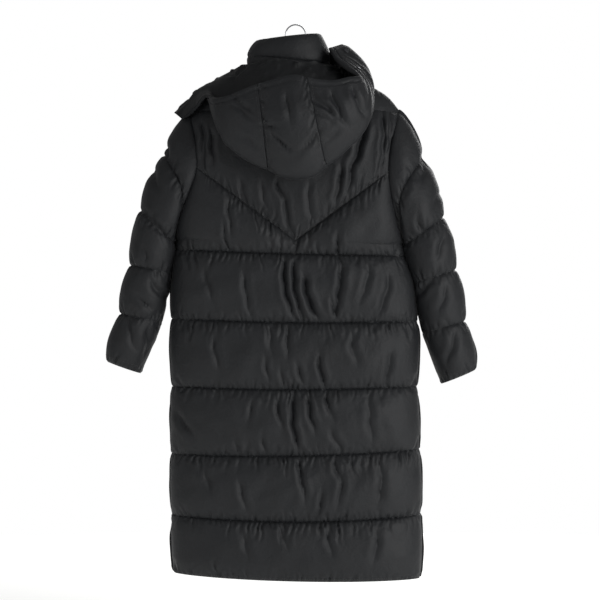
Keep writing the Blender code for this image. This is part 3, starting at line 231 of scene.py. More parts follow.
TORSO = in_metres(
    Section,
    (-214, -250, 244, 66, 62, 0), (-290, -233, 224, 72, 66, 0), (-350, -232, 218, 77, 68, 0),
    (-410, -250, 222, 80, 70, 0), (-455, -268, 232, 81, 71, 0), (-510, -281, 248, 82, 72, 0),
    (-605, -287, 272, 82, 73, 0), (-700, -291, 286, 83, 74, 0), (-860, -290, 285, 85, 76, 0),
    (-1020, -291, 291, 87, 78, 0), (-1170, -290, 294, 90, 80, 0),
    (-1320, -284, 292, 93, 82, 4))
SHOULDER_LINE = in_metres(
    Height,
    (0, -86), (105, -119), (187, -155), (222, -179), (250, -214))
BODY_STITCHES = in_metres(
    StitchLine,
    (-538, -548.5, -553), (-701, -710.6, -707), (-861, -868, -861), (-1021, -1024, -1011),
    (-1165, -1179, -1165), (-1303, -1318, -1316))
SLEEVE_RINGS = {
    Side.LEFT: in_metres(
        Ring,
        (-364, -445, -287, -526, 60, 0), (-389, -575, -295, -592, 58, 4),
        (-412.5, -690, -321, -710, 53, 10), (-446, -804, -372, -830, 43, 18)),
    Side.RIGHT: in_metres(
        Ring,
        (347, -461.5, 257, -530, 60, 0), (376, -586, 278, -618, 58, 4),
        (398, -708, 305, -734, 53, 10), (425.5, -823.5, 350, -855, 43, 18)),
}
COLLAR_RINGS = in_metres(
    CollarRing,
    (-17, 94, 63, -79, -98), (-16, 70, 55, -41, -24))

BACK_CREASES = in_metres(
    Crease,
    (-28, -560, -8, -690, 7, 11), (-6, -560, 12, -690, 7, 10), (18, -600, 50, -700, 7.5, 12),
    (98, -500, 106, -575, 7, 8), (106, -575, 90, -690, 8, 10), (82, -650, 100, -705, 6, 7),
    (-155, -415, -150, -500, 6, 6), (-166, -470, -160, -530, 5, 5),
    (-210, -580, -190, -660, 8, 6), (-120, -590, -105, -690, 7, 6),
    (170, -570, 150, -660, 8, 6), (215, -600, 190, -700, 8, 7),
    (-60, -715, -54, -775, 7.5, 6), (-18, -715, -17, -785, 7.5, 7),
    (-72, -793, -62, -845, 5.5, 6), (-34, -820, -25, -862, 5.5, 6),
    (3, -805, 18, -856, 6, 7), (55, -786, 69, -864, 6.5, 9), (130, -730, 142, -800, 8, 6),
    (-190, -740, -176, -820, 8, 6), (220, -780, 204, -858, 8, 6),
    (-102, -892, -109, -938, 6, 6), (-43, -892, -32, -950, 6, 7),
    (-6, -880, 6, -1008, 7, 10), (27, -880, 46, -962, 6.5, 9), (69, -880, 84, -926, 6, 8),
    (81, -962, 105, -1008, 7, 7), (-271, -927, -236, -974, 8, 8),
    (-140, -986, -135, -1020, 6, 6), (-76, -974, -71, -1020, 6, 6),
    (170, -900, 180, -985, 9, 6), (11, -1028, 22, -1120, 7, 8),
    (90, -1028, 105, -1080, 7, 8), (105, -1080, 97, -1138, 7, 7),
    (60, -1103, 48, -1174, 6, 6), (-130, -1080, -114, -1150, 7, 6),
    (-210, -1040, -195, -1110, 9, 6), (200, -1050, 190, -1130, 9, 6),
    (-189, -1267, -173, -1310, 6, 6), (-36, -1185, -20, -1232, 7, 7),
    (75, -1190, 85, -1250, 7.5, 6), (190, -1200, 178, -1270, 9, 6),
    (-120, -1200, -110, -1260, 8, 5))
YOKE_CREASES = in_metres(
    Crease,
    (-46, -370, -25, -422, 6.5, 9), (-25, -422, -8, -510, 6.5, 10),
    (-130, -370, -116, -434, 7, 7), (105, -340, 93, -434, 7, 8),
    (163, -234, 133, -340, 8, 10), (133, -340, 124, -394, 7, 8),
    (203, -222, 199, -360, 6.5, 9), (221, -222, 211, -350, 5.5, 8),
    (-218, -240, -224, -360, 6, 8), (-231, -363, -238, -456, 6, 7),
    (-196, -260, -190, -340, 7, 6), (30, -385, 40, -470, 7, 5), (-80, -375, -68, -440, 6, 5))
FRONT_CREASES = in_metres(
    Crease,
    (-200, -240, -212, -370, 7, 8), (-120, -200, -150, -330, 8, 8),
    (-60, -260, -52, -380, 7, 7), (-150, -400, -135, -510, 8, 8),
    (196, -240, 205, -380, 7, 8), (130, -210, 146, -320, 8, 8), (70, -270, 60, -400, 7, 7),
    (160, -420, 140, -520, 8, 8), (-180, -570, -160, -680, 8, 8),
    (-70, -600, -52, -700, 7.5, 9), (60, -565, 74, -660, 7.5, 9),
    (200, -590, 180, -690, 8, 8), (-120, -730, -104, -820, 8, 8),
    (-40, -760, -48, -858, 7, 8), (100, -740, 112, -840, 8, 9), (44, -790, 36, -862, 7, 7),
    (-200, -890, -180, -980, 9, 8), (-72, -880, -58, -990, 7.5, 9),
    (64, -900, 80, -1005, 7.5, 9), (190, -890, 204, -970, 9, 7),
    (-130, -1040, -116, -1130, 8, 8), (-40, -1060, -50, -1160, 7, 7),
    (110, -1040, 122, -1120, 8, 8), (46, -1080, 40, -1165, 7, 7),
    (-180, -1200, -166, -1290, 8, 7), (-70, -1190, -60, -1270, 7.5, 7),
    (80, -1200, 94, -1280, 8, 7), (210, -1190, 196, -1270, 9, 6))


# ---- the coat's base form
@dataclass(frozen=True)
class CoatForm:
    """The surface between the padding and the plain inside, as the solids have it."""
    seam_gap: float = 0.0003
    roundness: float = 2.6
    shoulder_roll: float = 0.12
    neck_half_width: float = 0.105
    neck_drop_back: float = 0.062
    neck_drop_front: float = 0.092
    neck_share: float = 0.44
    armhole_top: float = -0.214
    armhole_depth: float = 0.062
    underarm_share: float = 0.84
    v_tip: float = -0.517
    v_slope: float = 0.74
    zip_half_gap: float = 0.0042
    side_zip_top: float = -0.858
    side_zip_end: float = -1.214
    side_slit_open: float = 0.010
    column_crowding: float = 0.3
    armhole_turn: float = 0.14

    def torso(self, z: Array, column: str) -> Array:
        """One column of the torso's table at heights z.

        Args:
            z: Heights.
            column: The column's name.

        Returns:
            Its value at each height.
        """
        rows = TORSO[::-1]
        return smooth_value(z, [row.z for row in rows],
                            np.array([getattr(row, column) for row in rows]))

    def shoulder_height(self, x: Array) -> Array:
        """Height of the shoulder line at x."""
        return smooth_value(np.abs(x), [row.x for row in SHOULDER_LINE],
                            np.array([row.z for row in SHOULDER_LINE]))

    def oval(self, s: Array) -> Array:
        """Depth share of the section at s, -1 at the left seam and 1 at the right."""
        return np.clip(1 - np.abs(s) ** self.roundness, 0, 1) ** (1 / self.roundness)

    def across(self, z: Array, s: Array, face: int) -> Array:
        """X of a column at a height, on the back, -1, or the front, 1.

        Args:
            z: Heights.
            s: The columns, from -1 to 1.
            face: -1 for the back, 1 for the front.

        Returns:
            X at each place.
        """
        left, right = self.torso(z, "left"), self.torso(z, "right")
        flare = self.torso(z, "flare") if face > 0 else 0.0
        return (left + right) / 2 + ((right - left) / 2 + flare) * s

    def v_height(self, s: Array, face: int) -> Array:
        """Height of the shoulder piece's lower edge: a V behind, level in front.

        Args:
            s: The columns, from -1 to 1.
            face: -1 for the back, 1 for the front.

        Returns:
            A height for each column.
        """
        s = np.asarray(s, float)
        if face > 0:
            left, right = self.v_height(np.array([-1.0, 1.0]), -1)
            return (left + right) / 2 + (right - left) / 2 * s
        z = np.full_like(s, self.v_tip)
        for _ in range(12):
            z = self.v_tip + self.v_slope * np.abs(self.across(z, s, face))
        return z

    def stitch_height(self, channel: int, s: Array) -> Array:
        """Height of a stitch line at s.

        Args:
            channel: The line's number, from the top.
            s: The columns, from -1 to 1.

        Returns:
            A height for each column.
        """
        line = BODY_STITCHES[channel]
        return (line.middle + (line.right - line.left) / 2 * s
                + ((line.right + line.left) / 2 - line.middle) * s * s)

    def underarm(self, s: Array) -> Array:
        """The height at which the armhole closes, from the left side to the right.

        Args:
            s: The columns, from -1 to 1.

        Returns:
            A height for each column.
        """
        sides = self.v_height(np.array([-1.0, 1.0]), -1)
        ends = np.array([BODY_STITCHES[0].left, BODY_STITCHES[0].right])
        left, right = sides * (1 - self.underarm_share) + ends * self.underarm_share
        return (left + right) / 2 + (right - left) / 2 * s

    def armhole(self, z: Array, s: Array) -> Array:
        """Half the armhole's opening, front to back, at a height.

        Args:
            z: Heights.
            s: The columns, from -1 to 1.

        Returns:
            The distance from the seam's plane.
        """
        bottom = self.underarm(s)
        middle, half = (self.armhole_top + bottom) / 2, (self.armhole_top - bottom) / 2
        return self.armhole_depth * np.sqrt(np.clip(1 - ((z - middle) / half) ** 2, 0, 1))

    def seam_offset(self, z: Array) -> Array:
        """Distance of a side edge from its seam's middle: sewn, zipped, then open.

        Args:
            z: Heights.

        Returns:
            A distance for each height.
        """
        opened = np.maximum(self.side_zip_end - z, 0) / (
            self.side_zip_end - BODY_STITCHES[-1].left)
        return np.where(z > self.side_zip_top, self.seam_gap,
                        self.zip_half_gap + self.side_slit_open * opened)

    def kept_to_side(self, grid: Array, face: int) -> Array:
        """The grid with its points held on their own side of the side seams.

        Args:
            grid: The points.
            face: -1 for the back, 1 for the front.

        Returns:
            The moved points.
        """
        grid = grid.copy()
        grid[..., 1] = face * np.hypot(grid[..., 1], self.seam_offset(grid[..., 2]))
        return grid

    def neck_or_shoulder(self, s: Array, face: int) -> tuple[Array, Array]:
        """Where columns start: on the neck seam near the middle, else on the shoulder.

        Args:
            s: The columns, from -1 to 1.
            face: -1 for the back, 1 for the front.

        Returns:
            X and Z of each column's start.
        """
        drop = self.neck_drop_back if face < 0 else self.neck_drop_front
        angle = np.clip(s / self.neck_share, -1, 1) * math.pi / 2
        share = np.clip((np.abs(s) - self.neck_share) / (1 - self.neck_share), 0, 1)
        tip = np.where(s < 0, -TORSO[0].left, TORSO[0].right)
        outer = np.sign(s) * (self.neck_half_width + (tip - self.neck_half_width) * share)
        inside = np.abs(s) <= self.neck_share
        x = np.where(inside, self.neck_half_width * np.sin(angle), outer)
        z = self.shoulder_height(x) - np.where(inside, drop * np.cos(angle) ** 2, 0)
        return x, z

    def shoulder_grid(self, s: Array, ts: Array, face: int) -> Array:
        """Points over the shoulders, by t from the top, 0, to the lower edge, 1.

        Args:
            s: The columns, from -1 to 1.
            ts: The rows.
            face: -1 for the back, 1 for the front.

        Returns:
            The points, by row and column.
        """
        s, t = np.asarray(s, float)[None, :], np.asarray(ts, float)[:, None]
        x_top, z_top = self.neck_or_shoulder(s, face)
        z_low = self.v_height(s, face)
        z = z_top + (z_low - z_top) * t
        x = x_top + (self.across(z_low, s, face) - x_top) * t
        side = np.where(s > 0, 1.0, -1.0)
        side_low = self.v_height(side, face)
        side_z = self.armhole_top + (side_low - self.armhole_top) * t
        straight = np.where(s > 0, TORSO[0].right, TORSO[0].left)
        straight = straight + (self.across(side_low, side, face) - straight) * t
        x = x + (self.across(side_z, side, face) - straight) * np.abs(s) ** 6
        depth = self.torso(z, "back" if face < 0 else "front")
        below = np.maximum(self.shoulder_height(x) - z, 0)
        depth = depth * quarter_round(below / self.shoulder_roll)
        oval = self.oval(s)
        y = face * (self.armhole(z, s) * (1 - oval) + depth * oval)
        return self.kept_to_side(np.stack([x, y, z], axis=2), face)

    def channel_grid(self, s: Array, channel: int, ts: Array, face: int) -> Array:
        """Points of one channel below the shoulder part, by t from its upper stitching.

        Args:
            s: The columns, from -1 to 1.
            channel: The channel's number, from the top.
            ts: The rows.
            face: -1 for the back, 1 for the front.

        Returns:
            The points, by row and column.
        """
        s, t = np.asarray(s, float)[None, :], np.asarray(ts, float)[:, None]
        top = (self.v_height(s, face) if channel == 0
               else self.stitch_height(channel - 1, s))
        z = top + (self.stitch_height(channel, s) - top) * t
        depth = self.torso(z, "back" if face < 0 else "front")
        oval = self.oval(s)
        y = face * (self.armhole(z, s) * (1 - oval) + depth * oval)
        x = self.across(z, s, face) + 0 * t
        return self.kept_to_side(np.stack([x, y, z], axis=2), face)

    def back_columns(self, count: int) -> Array:
        """Columns across the back, closer together at the side seams.

        Args:
            count: How many steps between them.

        Returns:
            The columns.
        """
        tau = np.linspace(-1, 1, count + 1)
        tau = tau - self.column_crowding * np.sin(math.pi * tau) / math.pi
        return self.with_neck_corners(np.sin(tau * math.pi / 2))

    def front_columns(self, side: Side, count: int) -> Array:
        """Columns of one front, from its side seam to the zip."""
        shares = np.sin(np.linspace(1, 0, count + 1) ** 1.15 * math.pi / 2)
        return self.with_neck_corners(shares * side.value)

    def with_neck_corners(self, shares: Array) -> Array:
        """The same columns, the nearest ones moved onto the neck's corners.

        Args:
            shares: The columns.

        Returns:
            The moved columns.
        """
        moved = np.array(shares)
        for corner in (-self.neck_share, self.neck_share):
            if moved.min() < corner < moved.max():
                moved[np.argmin(np.abs(moved - corner))] = corner
        return moved

    def armhole_ring(self, side: Side, rows: int) -> tuple[Array, Array, int]:
        """The armhole's edge from the shoulder down the back and up the front.

        Args:
            side: Which armhole.
            rows: Points on the part of the edge above the V seam's end.

        Returns:
            The points, the edge's normals in its own plane, and the count down the back.
        """
        share = np.array([float(side.value)])
        upper = self.shoulder_grid(share, np.linspace(0, 1, rows), -1)[:, 0]
        count = max(rows // 3, 4)
        lower = self.channel_grid(share, 0, np.linspace(0, self.underarm_share, count),
                                  -1)[:, 0]
        line = np.concatenate([upper, lower[1:]])
        run = run_along(line)
        even = np.linspace(0, run[-1], len(line))
        line = read_along(even, run, line)
        ring = np.concatenate([line, line[-2:0:-1] * (1, -1, 1)])
        turn = np.roll(ring, -1, axis=0) - np.roll(ring, 1, axis=0)
        normals = np.stack([np.zeros(len(ring)), turn[:, 2], -turn[:, 1]], axis=1)
        outward = (ring - ring.mean(axis=0)) * (0, 1, 1)
        flip = np.sign((normals * outward).sum(axis=1))
        return ring, unit(normals * flip[:, None]), len(line)

    def seam_normals(self, grid: Array, s: Array, face: int, shoulder: bool) -> Array:
        """Normals of a torso piece, turned along the seams at its edges.

        Args:
            grid: The piece's points.
            s: Its columns.
            face: -1 for a back piece, 1 for a front.
            shoulder: Whether the grid starts at the shoulder line and neck.

        Returns:
            A unit normal for each point.
        """
        normals = grid_normals(grid, grid * (1, 0, 1))
        edge_share = np.clip(1 - self.oval(s) / self.armhole_turn, 0, 1)
        for side in Side:
            columns = np.nonzero((edge_share > 0) & (np.sign(s) == side.value))[0]
            if not len(columns):
                continue
            ring, edge_normals, count = self.armhole_ring(side, 60)
            for column in columns:
                z = grid[:, column, 2]
                near = np.abs(ring[None, :count, 2] - z[:, None]).argmin(axis=1)
                turned = edge_normals[near] * (1, -face, 1)
                turned[z < float(self.underarm(side.value)) + 0.001] = (side.value, 0, 0)
                share = edge_share[column]
                normals[:, column] = normals[:, column] * (1 - share) + turned * share
        if face > 0:
            normals[:, -1, 0] = 0
        if shoulder:
            inside = np.abs(s) <= self.neck_share + 1e-6
            angle = s / self.neck_share * math.pi / 2
            neck = np.stack([np.sin(angle), face * np.cos(angle), 0 * angle], axis=1)
            normals[0] = np.where(inside[:, None], neck, normals[0] * (1, 0, 1))
        return unit(normals)


# ---- gathers and creases
@dataclass(frozen=True)
class Gathers:
    """Small uneven puckers that run off a line of stitching into the padding."""
    spacing: float = 0.0078
    shortest: float = 0.012
    longest: float = 0.056
    half_width: float = 0.0023
    depth: float = 0.0066
    lean: float = 0.30
    steps: tuple[float, float] = (0.35, 1.3)
    widths: tuple[float, float] = (0.7, 0.8)
    strengths: tuple[float, float] = (0.35, 0.9)
    wobble: float = 0.0012
    wobble_run: float = 0.006
    widening: float = 0.9
    ridge: float = 0.30
    ridge_place: float = 2.1
    ridge_width: float = 0.9
    margin: float = 0.004

    def pressed(self, along: Array, away: Array, rng: np.random.Generator) -> Array:
        """How far the puckers press in.

        Args:
            along: Each point's place along the stitching, in metres.
            away: Its distance from the stitching.
            rng: Seeded random numbers.

        Returns:
            A depth for each point, a little negative on the ridges beside a pucker.
        """
        low, high = float(along.min()), float(along.max())
        middle = along.mean(axis=0)
        depth = np.zeros_like(along)
        place = low
        while place < high:
            place += self.spacing * (self.steps[0] + self.steps[1] * rng.random())
            length = self.shortest + (self.longest - self.shortest) * rng.random() ** 2
            width = self.half_width * (self.widths[0] + self.widths[1] * rng.random())
            strength = self.depth * (self.strengths[0]
                                     + self.strengths[1] * rng.random() ** 1.5)
            lean = self.lean * (2 * rng.random() - 1)
            reach = 6 * width + abs(lean) * length + self.margin
            near = np.abs(middle - place) < reach
            if not near.any():
                continue
            offset = (along[:, near] - place - lean * away[:, near]
                      - self.wobble * np.sin(away[:, near] / self.wobble_run + 40 * place))
            grown = width * (1 + self.widening * away[:, near] / length)
            fade = np.clip(1 - away[:, near] / length, 0, 1) ** 0.8
            trough = np.exp(-np.abs(offset / grown) ** 1.15)
            ridge = np.exp(-((np.abs(offset) / grown - self.ridge_place)
                             / self.ridge_width) ** 2)
            depth[:, near] += strength * fade * (trough - self.ridge * ridge)
        return depth


@dataclass(frozen=True)
class CreaseShape:
    """A crease's bow and wander along its run, its soft ends and its profile."""
    bow: float = 0.12
    bow_share: float = 0.35
    wander: float = 0.0024
    wander_run: float = 0.010
    inset: float = 0.004
    start_fade: float = 0.006
    end_fade: float = 0.008
    core: float = 0.70
    core_width: float = 0.40
    flank: float = 0.45
    ridge: float = 0.22
    ridge_place: float = 2.0


CREASE = CreaseShape()


def crease_depth(x: Array, z: Array, creases: Sequence[Crease]) -> Array:
    """How far the long creases press in, with soft raised edges beside each.

    Args:
        x: The points' X.
        z: Their Z.
        creases: The creases.

    Returns:
        A depth for each point.
    """
    depth = np.zeros_like(x)
    for crease in creases:
        run_x, run_z = crease.x1 - crease.x0, crease.z1 - crease.z0
        length = math.hypot(run_x, run_z)
        along = ((x - crease.x0) * run_x + (z - crease.z0) * run_z) / length
        across = ((x - crease.x0) * run_z - (z - crease.z0) * run_x) / length
        bend = CREASE.bow * length * np.sin(np.clip(along / length, 0, 1) * math.pi)
        turns = along / CREASE.wander_run + 900 * crease.x0
        bend = bend * math.copysign(CREASE.bow_share, run_x) + (
            CREASE.wander * np.sin(turns) * np.sin(0.37 * turns + 1))
        across = np.abs(across - bend) / crease.half_width
        start = np.clip((along - CREASE.inset) / CREASE.start_fade, -40, 40)
        end = np.clip((along - length + CREASE.inset) / CREASE.end_fade, -40, 40)
        ends = 1 / (1 + np.exp(-start)) / (1 + np.exp(end))
        trough = (CREASE.core * np.exp(-across / CREASE.core_width)
                  + CREASE.flank * np.exp(-across ** 2))
        ridge = CREASE.ridge * np.exp(-(across - CREASE.ridge_place) ** 2)
        depth += crease.depth * ends * (trough - ridge)
    return depth


def lumps(u: Array, v: Array, size: float, rng: np.random.Generator) -> Array:
    """Soft unevenness of the filling, about -1 to 1, over places u and v in metres.

    Args:
        u: Places one way over the cloth.
        v: Places the other way.
        size: The lumps' usual size.
        rng: Seeded random numbers.

    Returns:
        A height for each point.
    """
    total = np.zeros_like(u)
    for _ in range(7):
        angle = rng.random() * math.pi
        wave = size * (0.7 + 0.9 * rng.random())
        phase = rng.random() * 2 * math.pi
        turn = (u * math.cos(angle) + v * math.sin(angle)) * 2 * math.pi / wave
        total += np.sin(turn + phase + 0.8 * np.sin(turn * 0.6 + 2 * phase))
    return total / 3.2


# ---- finishes
def linear_colour(code: str) -> tuple[float, float, float, float]:
    """An sRGB hex value as linear red, green, blue and alpha.

    Args:
        code: The value, written #rrggbb.

    Returns:
        The four values.
    """
    parts = [int(code[k:k + 2], 16) / 255 for k in (1, 3, 5)]
    return (*((c / 12.92 if c <= 0.04045 else ((c + 0.055) / 1.055) ** 2.4)
              for c in parts), 1.0)


def add_node(tree: bpy.types.NodeTree, kind: str, values: dict, links: dict,
             **settings: object) -> bpy.types.Node:
    """Add a node.

    Args:
        tree: The material's node tree.
        kind: The node's type name.
        values: Socket name or number to a constant.
        links: Socket name or number to the output socket that feeds it.
        **settings: The node's own properties.

    Returns:
        The new node.
    """
    node = tree.nodes.new(kind)
    for key, value in settings.items():
        setattr(node, key, value)
    for key, value in values.items():
        node.inputs[key].default_value = value
    for key, source in links.items():
        tree.links.new(source, node.inputs[key])
    return node


def mm(size: float) -> float:
    """Repeats per metre of a pattern whose repeat is this many millimetres."""
    return 1000.0 / size


@dataclass(frozen=True)
class Finish:
    """A surface: two shades, gloss, and relief at two sizes in millimetres.

    The shades mix over soft patches.  The broad relief is the crumple of the piece, the
    fine one its weave, casting or drawing marks, drawn as coarse as it needs to show.
    """
    name: str
    dark: str
    light: str
    patch_mm: float
    roughness: float
    roughness_spread: float
    metallic: float
    sheen: float
    broad_mm: float
    broad_depth: float
    fine_mm: float
    fine_depth: float
    woven: bool = False
    specular: float = 0.5
    glow: float = 0.0

    def material(self) -> bpy.types.Material:
        """The finish as a node material on object coordinates.

        Returns:
            The material.
        """
        made = bpy.data.materials.new(self.name)
        made.use_nodes = True
        tree = made.node_tree
        shader = tree.nodes["Principled BSDF"]
        for socket, value in (("Metallic", self.metallic), ("Sheen Weight", self.sheen),
                              ("Sheen Roughness", 0.35),
                              ("Specular IOR Level", self.specular),
                              ("Emission Color", linear_colour(self.light)),
                              ("Emission Strength", self.glow)):
            shader.inputs[socket].default_value = value
        place = add_node(tree, "ShaderNodeTexCoord", {}, {}).outputs["Object"]
        patches = add_node(tree, "ShaderNodeTexNoise",
                           {"Scale": mm(self.patch_mm), "Detail": 3.0}, {"Vector": place})
        shade = add_node(tree, "ShaderNodeMix",
                         {6: linear_colour(self.dark), 7: linear_colour(self.light)},
                         {0: patches.outputs["Fac"]}, data_type="RGBA")
        tree.links.new(shade.outputs[2], shader.inputs["Base Color"])
        gloss = add_node(tree, "ShaderNodeMapRange",
                         {"To Min": self.roughness - self.roughness_spread,
                          "To Max": self.roughness + self.roughness_spread},
                         {"Value": patches.outputs["Fac"]})
        tree.links.new(gloss.outputs[0], shader.inputs["Roughness"])
        broad = add_node(tree, "ShaderNodeTexNoise",
                         {"Scale": mm(self.broad_mm), "Detail": 5.0, "Roughness": 0.55,
                          "Distortion": 0.6}, {"Vector": place})
        bump = add_node(tree, "ShaderNodeBump",
                        {"Strength": 1.0, "Distance": self.broad_depth},
                        {"Height": broad.outputs["Fac"]})
        if self.woven:
            fine = self.weave(tree, place)
        else:
            fine = add_node(tree, "ShaderNodeTexNoise",
                            {"Scale": mm(self.fine_mm), "Detail": 2.0},
                            {"Vector": place}).outputs["Fac"]
        relief = add_node(tree, "ShaderNodeBump",
                          {"Strength": 0.6, "Distance": self.fine_depth},
                          {"Height": fine, "Normal": bump.outputs["Normal"]})
        tree.links.new(relief.outputs["Normal"], shader.inputs["Normal"])
        return made

    def weave(self, tree: bpy.types.NodeTree, place: bpy.types.NodeSocket
              ) -> bpy.types.NodeSocket:
        """Threads that cross: bands across X with Y, and bands down Z.

        Args:
            tree: The material's node tree.
            place: The socket with the object's coordinates.

        Returns:
            The socket with the threads' height.
        """
        bands = [add_node(tree, "ShaderNodeTexWave",
                          {"Scale": mm(self.fine_mm) / 6.2832 * math.pi, "Distortion": 0.4,
                           "Detail": 0.0}, {"Vector": place},
                          bands_direction=way).outputs["Fac"] for way in ("X", "Z")]
        return add_node(tree, "ShaderNodeMath", {}, {0: bands[0], 1: bands[1]},
                        operation="MAXIMUM").outputs[0]


# down-proof nylon taffeta, calendered on its face: a soft satin gloss on near-black
NYLON = Finish("calendered_nylon_taffeta", "#141517", "#1a1c1f", 70.0, 0.60, 0.04, 0.0,
               0.05, 16.0, 0.0014, 1.1, 0.00006, woven=True, specular=0.36)
# woven satin lining: smoother and a shade darker than the shell, nearly matt in its folds
LINING = Finish("woven_satin_lining", "#0d0e10", "#121416", 60.0, 0.64, 0.04, 0.0, 0.05,
                22.0, 0.0016, 1.0, 0.00005, woven=True, specular=0.32)
# polyester zip tape: a matt herringbone, drawn as plain ribs
TAPE = Finish("woven_polyester_tape", "#0e0e0f", "#161617", 12.0, 0.80, 0.06, 0.0, 0.15,
              6.0, 0.0002, 1.2, 0.0002, woven=True)
# corespun sewing thread: matt, a shade deeper than the cloth
THREAD = Finish("corespun_thread", "#121314", "#1b1d1f", 6.0, 0.65, 0.06, 0.0, 0.2,
                3.0, 0.0001, 0.8, 0.0001)
# die-cast zinc under dark nickel plate: satin metal with faint handling marks
NICKEL = Finish("dark_nickel_plate", "#4e4f52", "#66676a", 5.0, 0.44, 0.08, 1.0, 0.0,
                3.0, 0.00004, 0.7, 0.00002)
# moulded acetal teeth: black with a slight gloss
ACETAL = Finish("moulded_acetal_teeth", "#141415", "#1c1c1d", 5.0, 0.38, 0.05, 0.0, 0.0,
                4.0, 0.00003, 0.8, 0.00002)
# drawn steel wire, bright zinc plated: near mirror, faint lengthwise drawing
STEEL = Finish("zinc_plated_wire", "#b9bbbe", "#d3d5d8", 8.0, 0.18, 0.06, 1.0, 0.0,
               4.0, 0.00003, 0.5, 0.00002)
# injection moulded polypropylene: satin black with a fine spark grain
PLASTIC = Finish("moulded_polypropylene", "#121213", "#191a1b", 15.0, 0.48, 0.05, 0.0, 0.0,
                 9.0, 0.00005, 0.8, 0.00006)
# translucent matt white film over a light table
PAPER = Finish("matt_backlit_film", "#f4f4f2", "#fafaf9", 400.0, 0.90, 0.03, 0.0, 0.0,
               90.0, 0.0001, 4.0, 0.0001, glow=0.45)


# ---- cloth walls
def linked(name: str, mesh: bpy.types.Mesh, material: bpy.types.Material
           ) -> bpy.types.Object:
    """A mesh as an object in the scene with its material.

    Args:
        name: The object's name.
        mesh: Its mesh.
        material: Its finish.

    Returns:
        The object.
    """
    piece = bpy.data.objects.new(name, mesh)
    piece.data.materials.append(material)
    bpy.context.scene.collection.objects.link(piece)
    return piece


def kept_rows(rows: int, every: int) -> tuple[int, ...]:
    """The rows that a plain inside keeps: the first, every few and the last."""
    return tuple(sorted({*range(0, rows, every), rows - 1}))


def closed_mesh(name: str, points: Array, faces: list) -> bpy.types.Mesh:
    """A closed mesh whose faces all look outward.

    Args:
        name: The mesh's name.
        points: Its vertices.
        faces: Its faces, as vertex numbers.

    Returns:
        The mesh.
    """
    mesh = bpy.data.meshes.new(name)
    mesh.from_pydata(points.tolist(), [], faces)
    shape = bmesh.new()
    shape.from_mesh(mesh)
    bmesh.ops.recalc_face_normals(shape, faces=shape.faces)
    shape.to_mesh(mesh)
    shape.free()
    return mesh


def wall_faces(rows: int, columns: int, inner_rows: Sequence[int], wrap: bool) -> list:
    """Faces of a closed wall.

    Args:
        rows: Rows of the outer grid.
        columns: Its columns.
        inner_rows: The rows that the inner grid keeps, first and last among them.
        wrap: Whether the last column meets the first.

    Returns:
        Faces over the outer grid's points and then the inner grid's.
    """
    last = columns if wrap else columns - 1
    base = rows * columns

    def outer(row: int, column: int) -> int:
        """A vertex number of the outer grid."""
        return row * columns + column % columns

    def inner(step: int, column: int) -> int:
        """A vertex number of the inner grid."""
        return base + step * columns + column % columns

    faces = [(outer(r, c), outer(r, c + 1), outer(r + 1, c + 1), outer(r + 1, c))
             for r in range(rows - 1) for c in range(last)]
    steps = len(inner_rows)
    faces += [(inner(r, c), inner(r + 1, c), inner(r + 1, c + 1), inner(r, c + 1))
              for r in range(steps - 1) for c in range(last)]
    for c in range(last):
        faces.append((outer(0, c), inner(0, c), inner(0, c + 1), outer(0, c + 1)))
        faces.append((outer(rows - 1, c), outer(rows - 1, c + 1),
                      inner(steps - 1, c + 1), inner(steps - 1, c)))
    if not wrap:
        for step in range(steps - 1):
            run = range(inner_rows[step], inner_rows[step + 1] + 1)
            faces.append([outer(r, 0) for r in run] + [inner(step + 1, 0), inner(step, 0)])
            faces.append([outer(r, columns - 1) for r in reversed(run)]
                         + [inner(step, columns - 1), inner(step + 1, columns - 1)])
    return faces


@dataclass(frozen=True)
class ClothWall:
    """A closed wall of cloth and padding round a base surface."""
    name: str
    grid: Array
    normals: Array
    outward: Array
    inward: float
    inner_every: int
    wrap: bool = False
    stitch_lift: float = 0.0002

    def build(self, material: bpy.types.Material) -> bpy.types.Object:
        """The wall as a smooth closed mesh.

        Args:
            material: Its finish.

        Returns:
            The wall's object.
        """
        inner_rows = kept_rows(len(self.grid), self.inner_every)
        outer = self.grid + self.normals * self.outward[..., None]
        inner = (self.grid - self.normals * self.inward)[list(inner_rows)]
        points = np.concatenate([outer.reshape(-1, 3), inner.reshape(-1, 3)])
        rows, columns = self.grid.shape[:2]
        mesh = closed_mesh(self.name, points,
                           wall_faces(rows, columns, inner_rows, self.wrap))
        mesh.shade_smooth()
        mesh.set_sharp_from_angle(angle=math.radians(55))
        return linked(self.name, mesh, material)

    def line(self, part: int | tuple) -> tuple[Array, Array]:
        """Points of a row, or of (all rows, a column), just off the face; and normals."""
        out = (self.outward[part] + self.stitch_lift)[:, None]
        return self.grid[part] + self.normals[part] * out, self.normals[part]


def dress(piece: bpy.types.Object, nodes: Sequence[str],
          body: str = COAT_BODY) -> bpy.types.Object:
    """Tie a piece to its body and hide the solids it stands for.

    Args:
        piece: The piece.
        nodes: The solids it stands for.
        body: The body it rides on.

    Returns:
        The piece.
    """
    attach(piece, body)
    if nodes:
        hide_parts(*nodes)
    count = sum(len(face.vertices) - 2 for face in piece.data.polygons)
    log.info("%s: %d triangles, rides on %s", piece.name, count, body)
    return piece


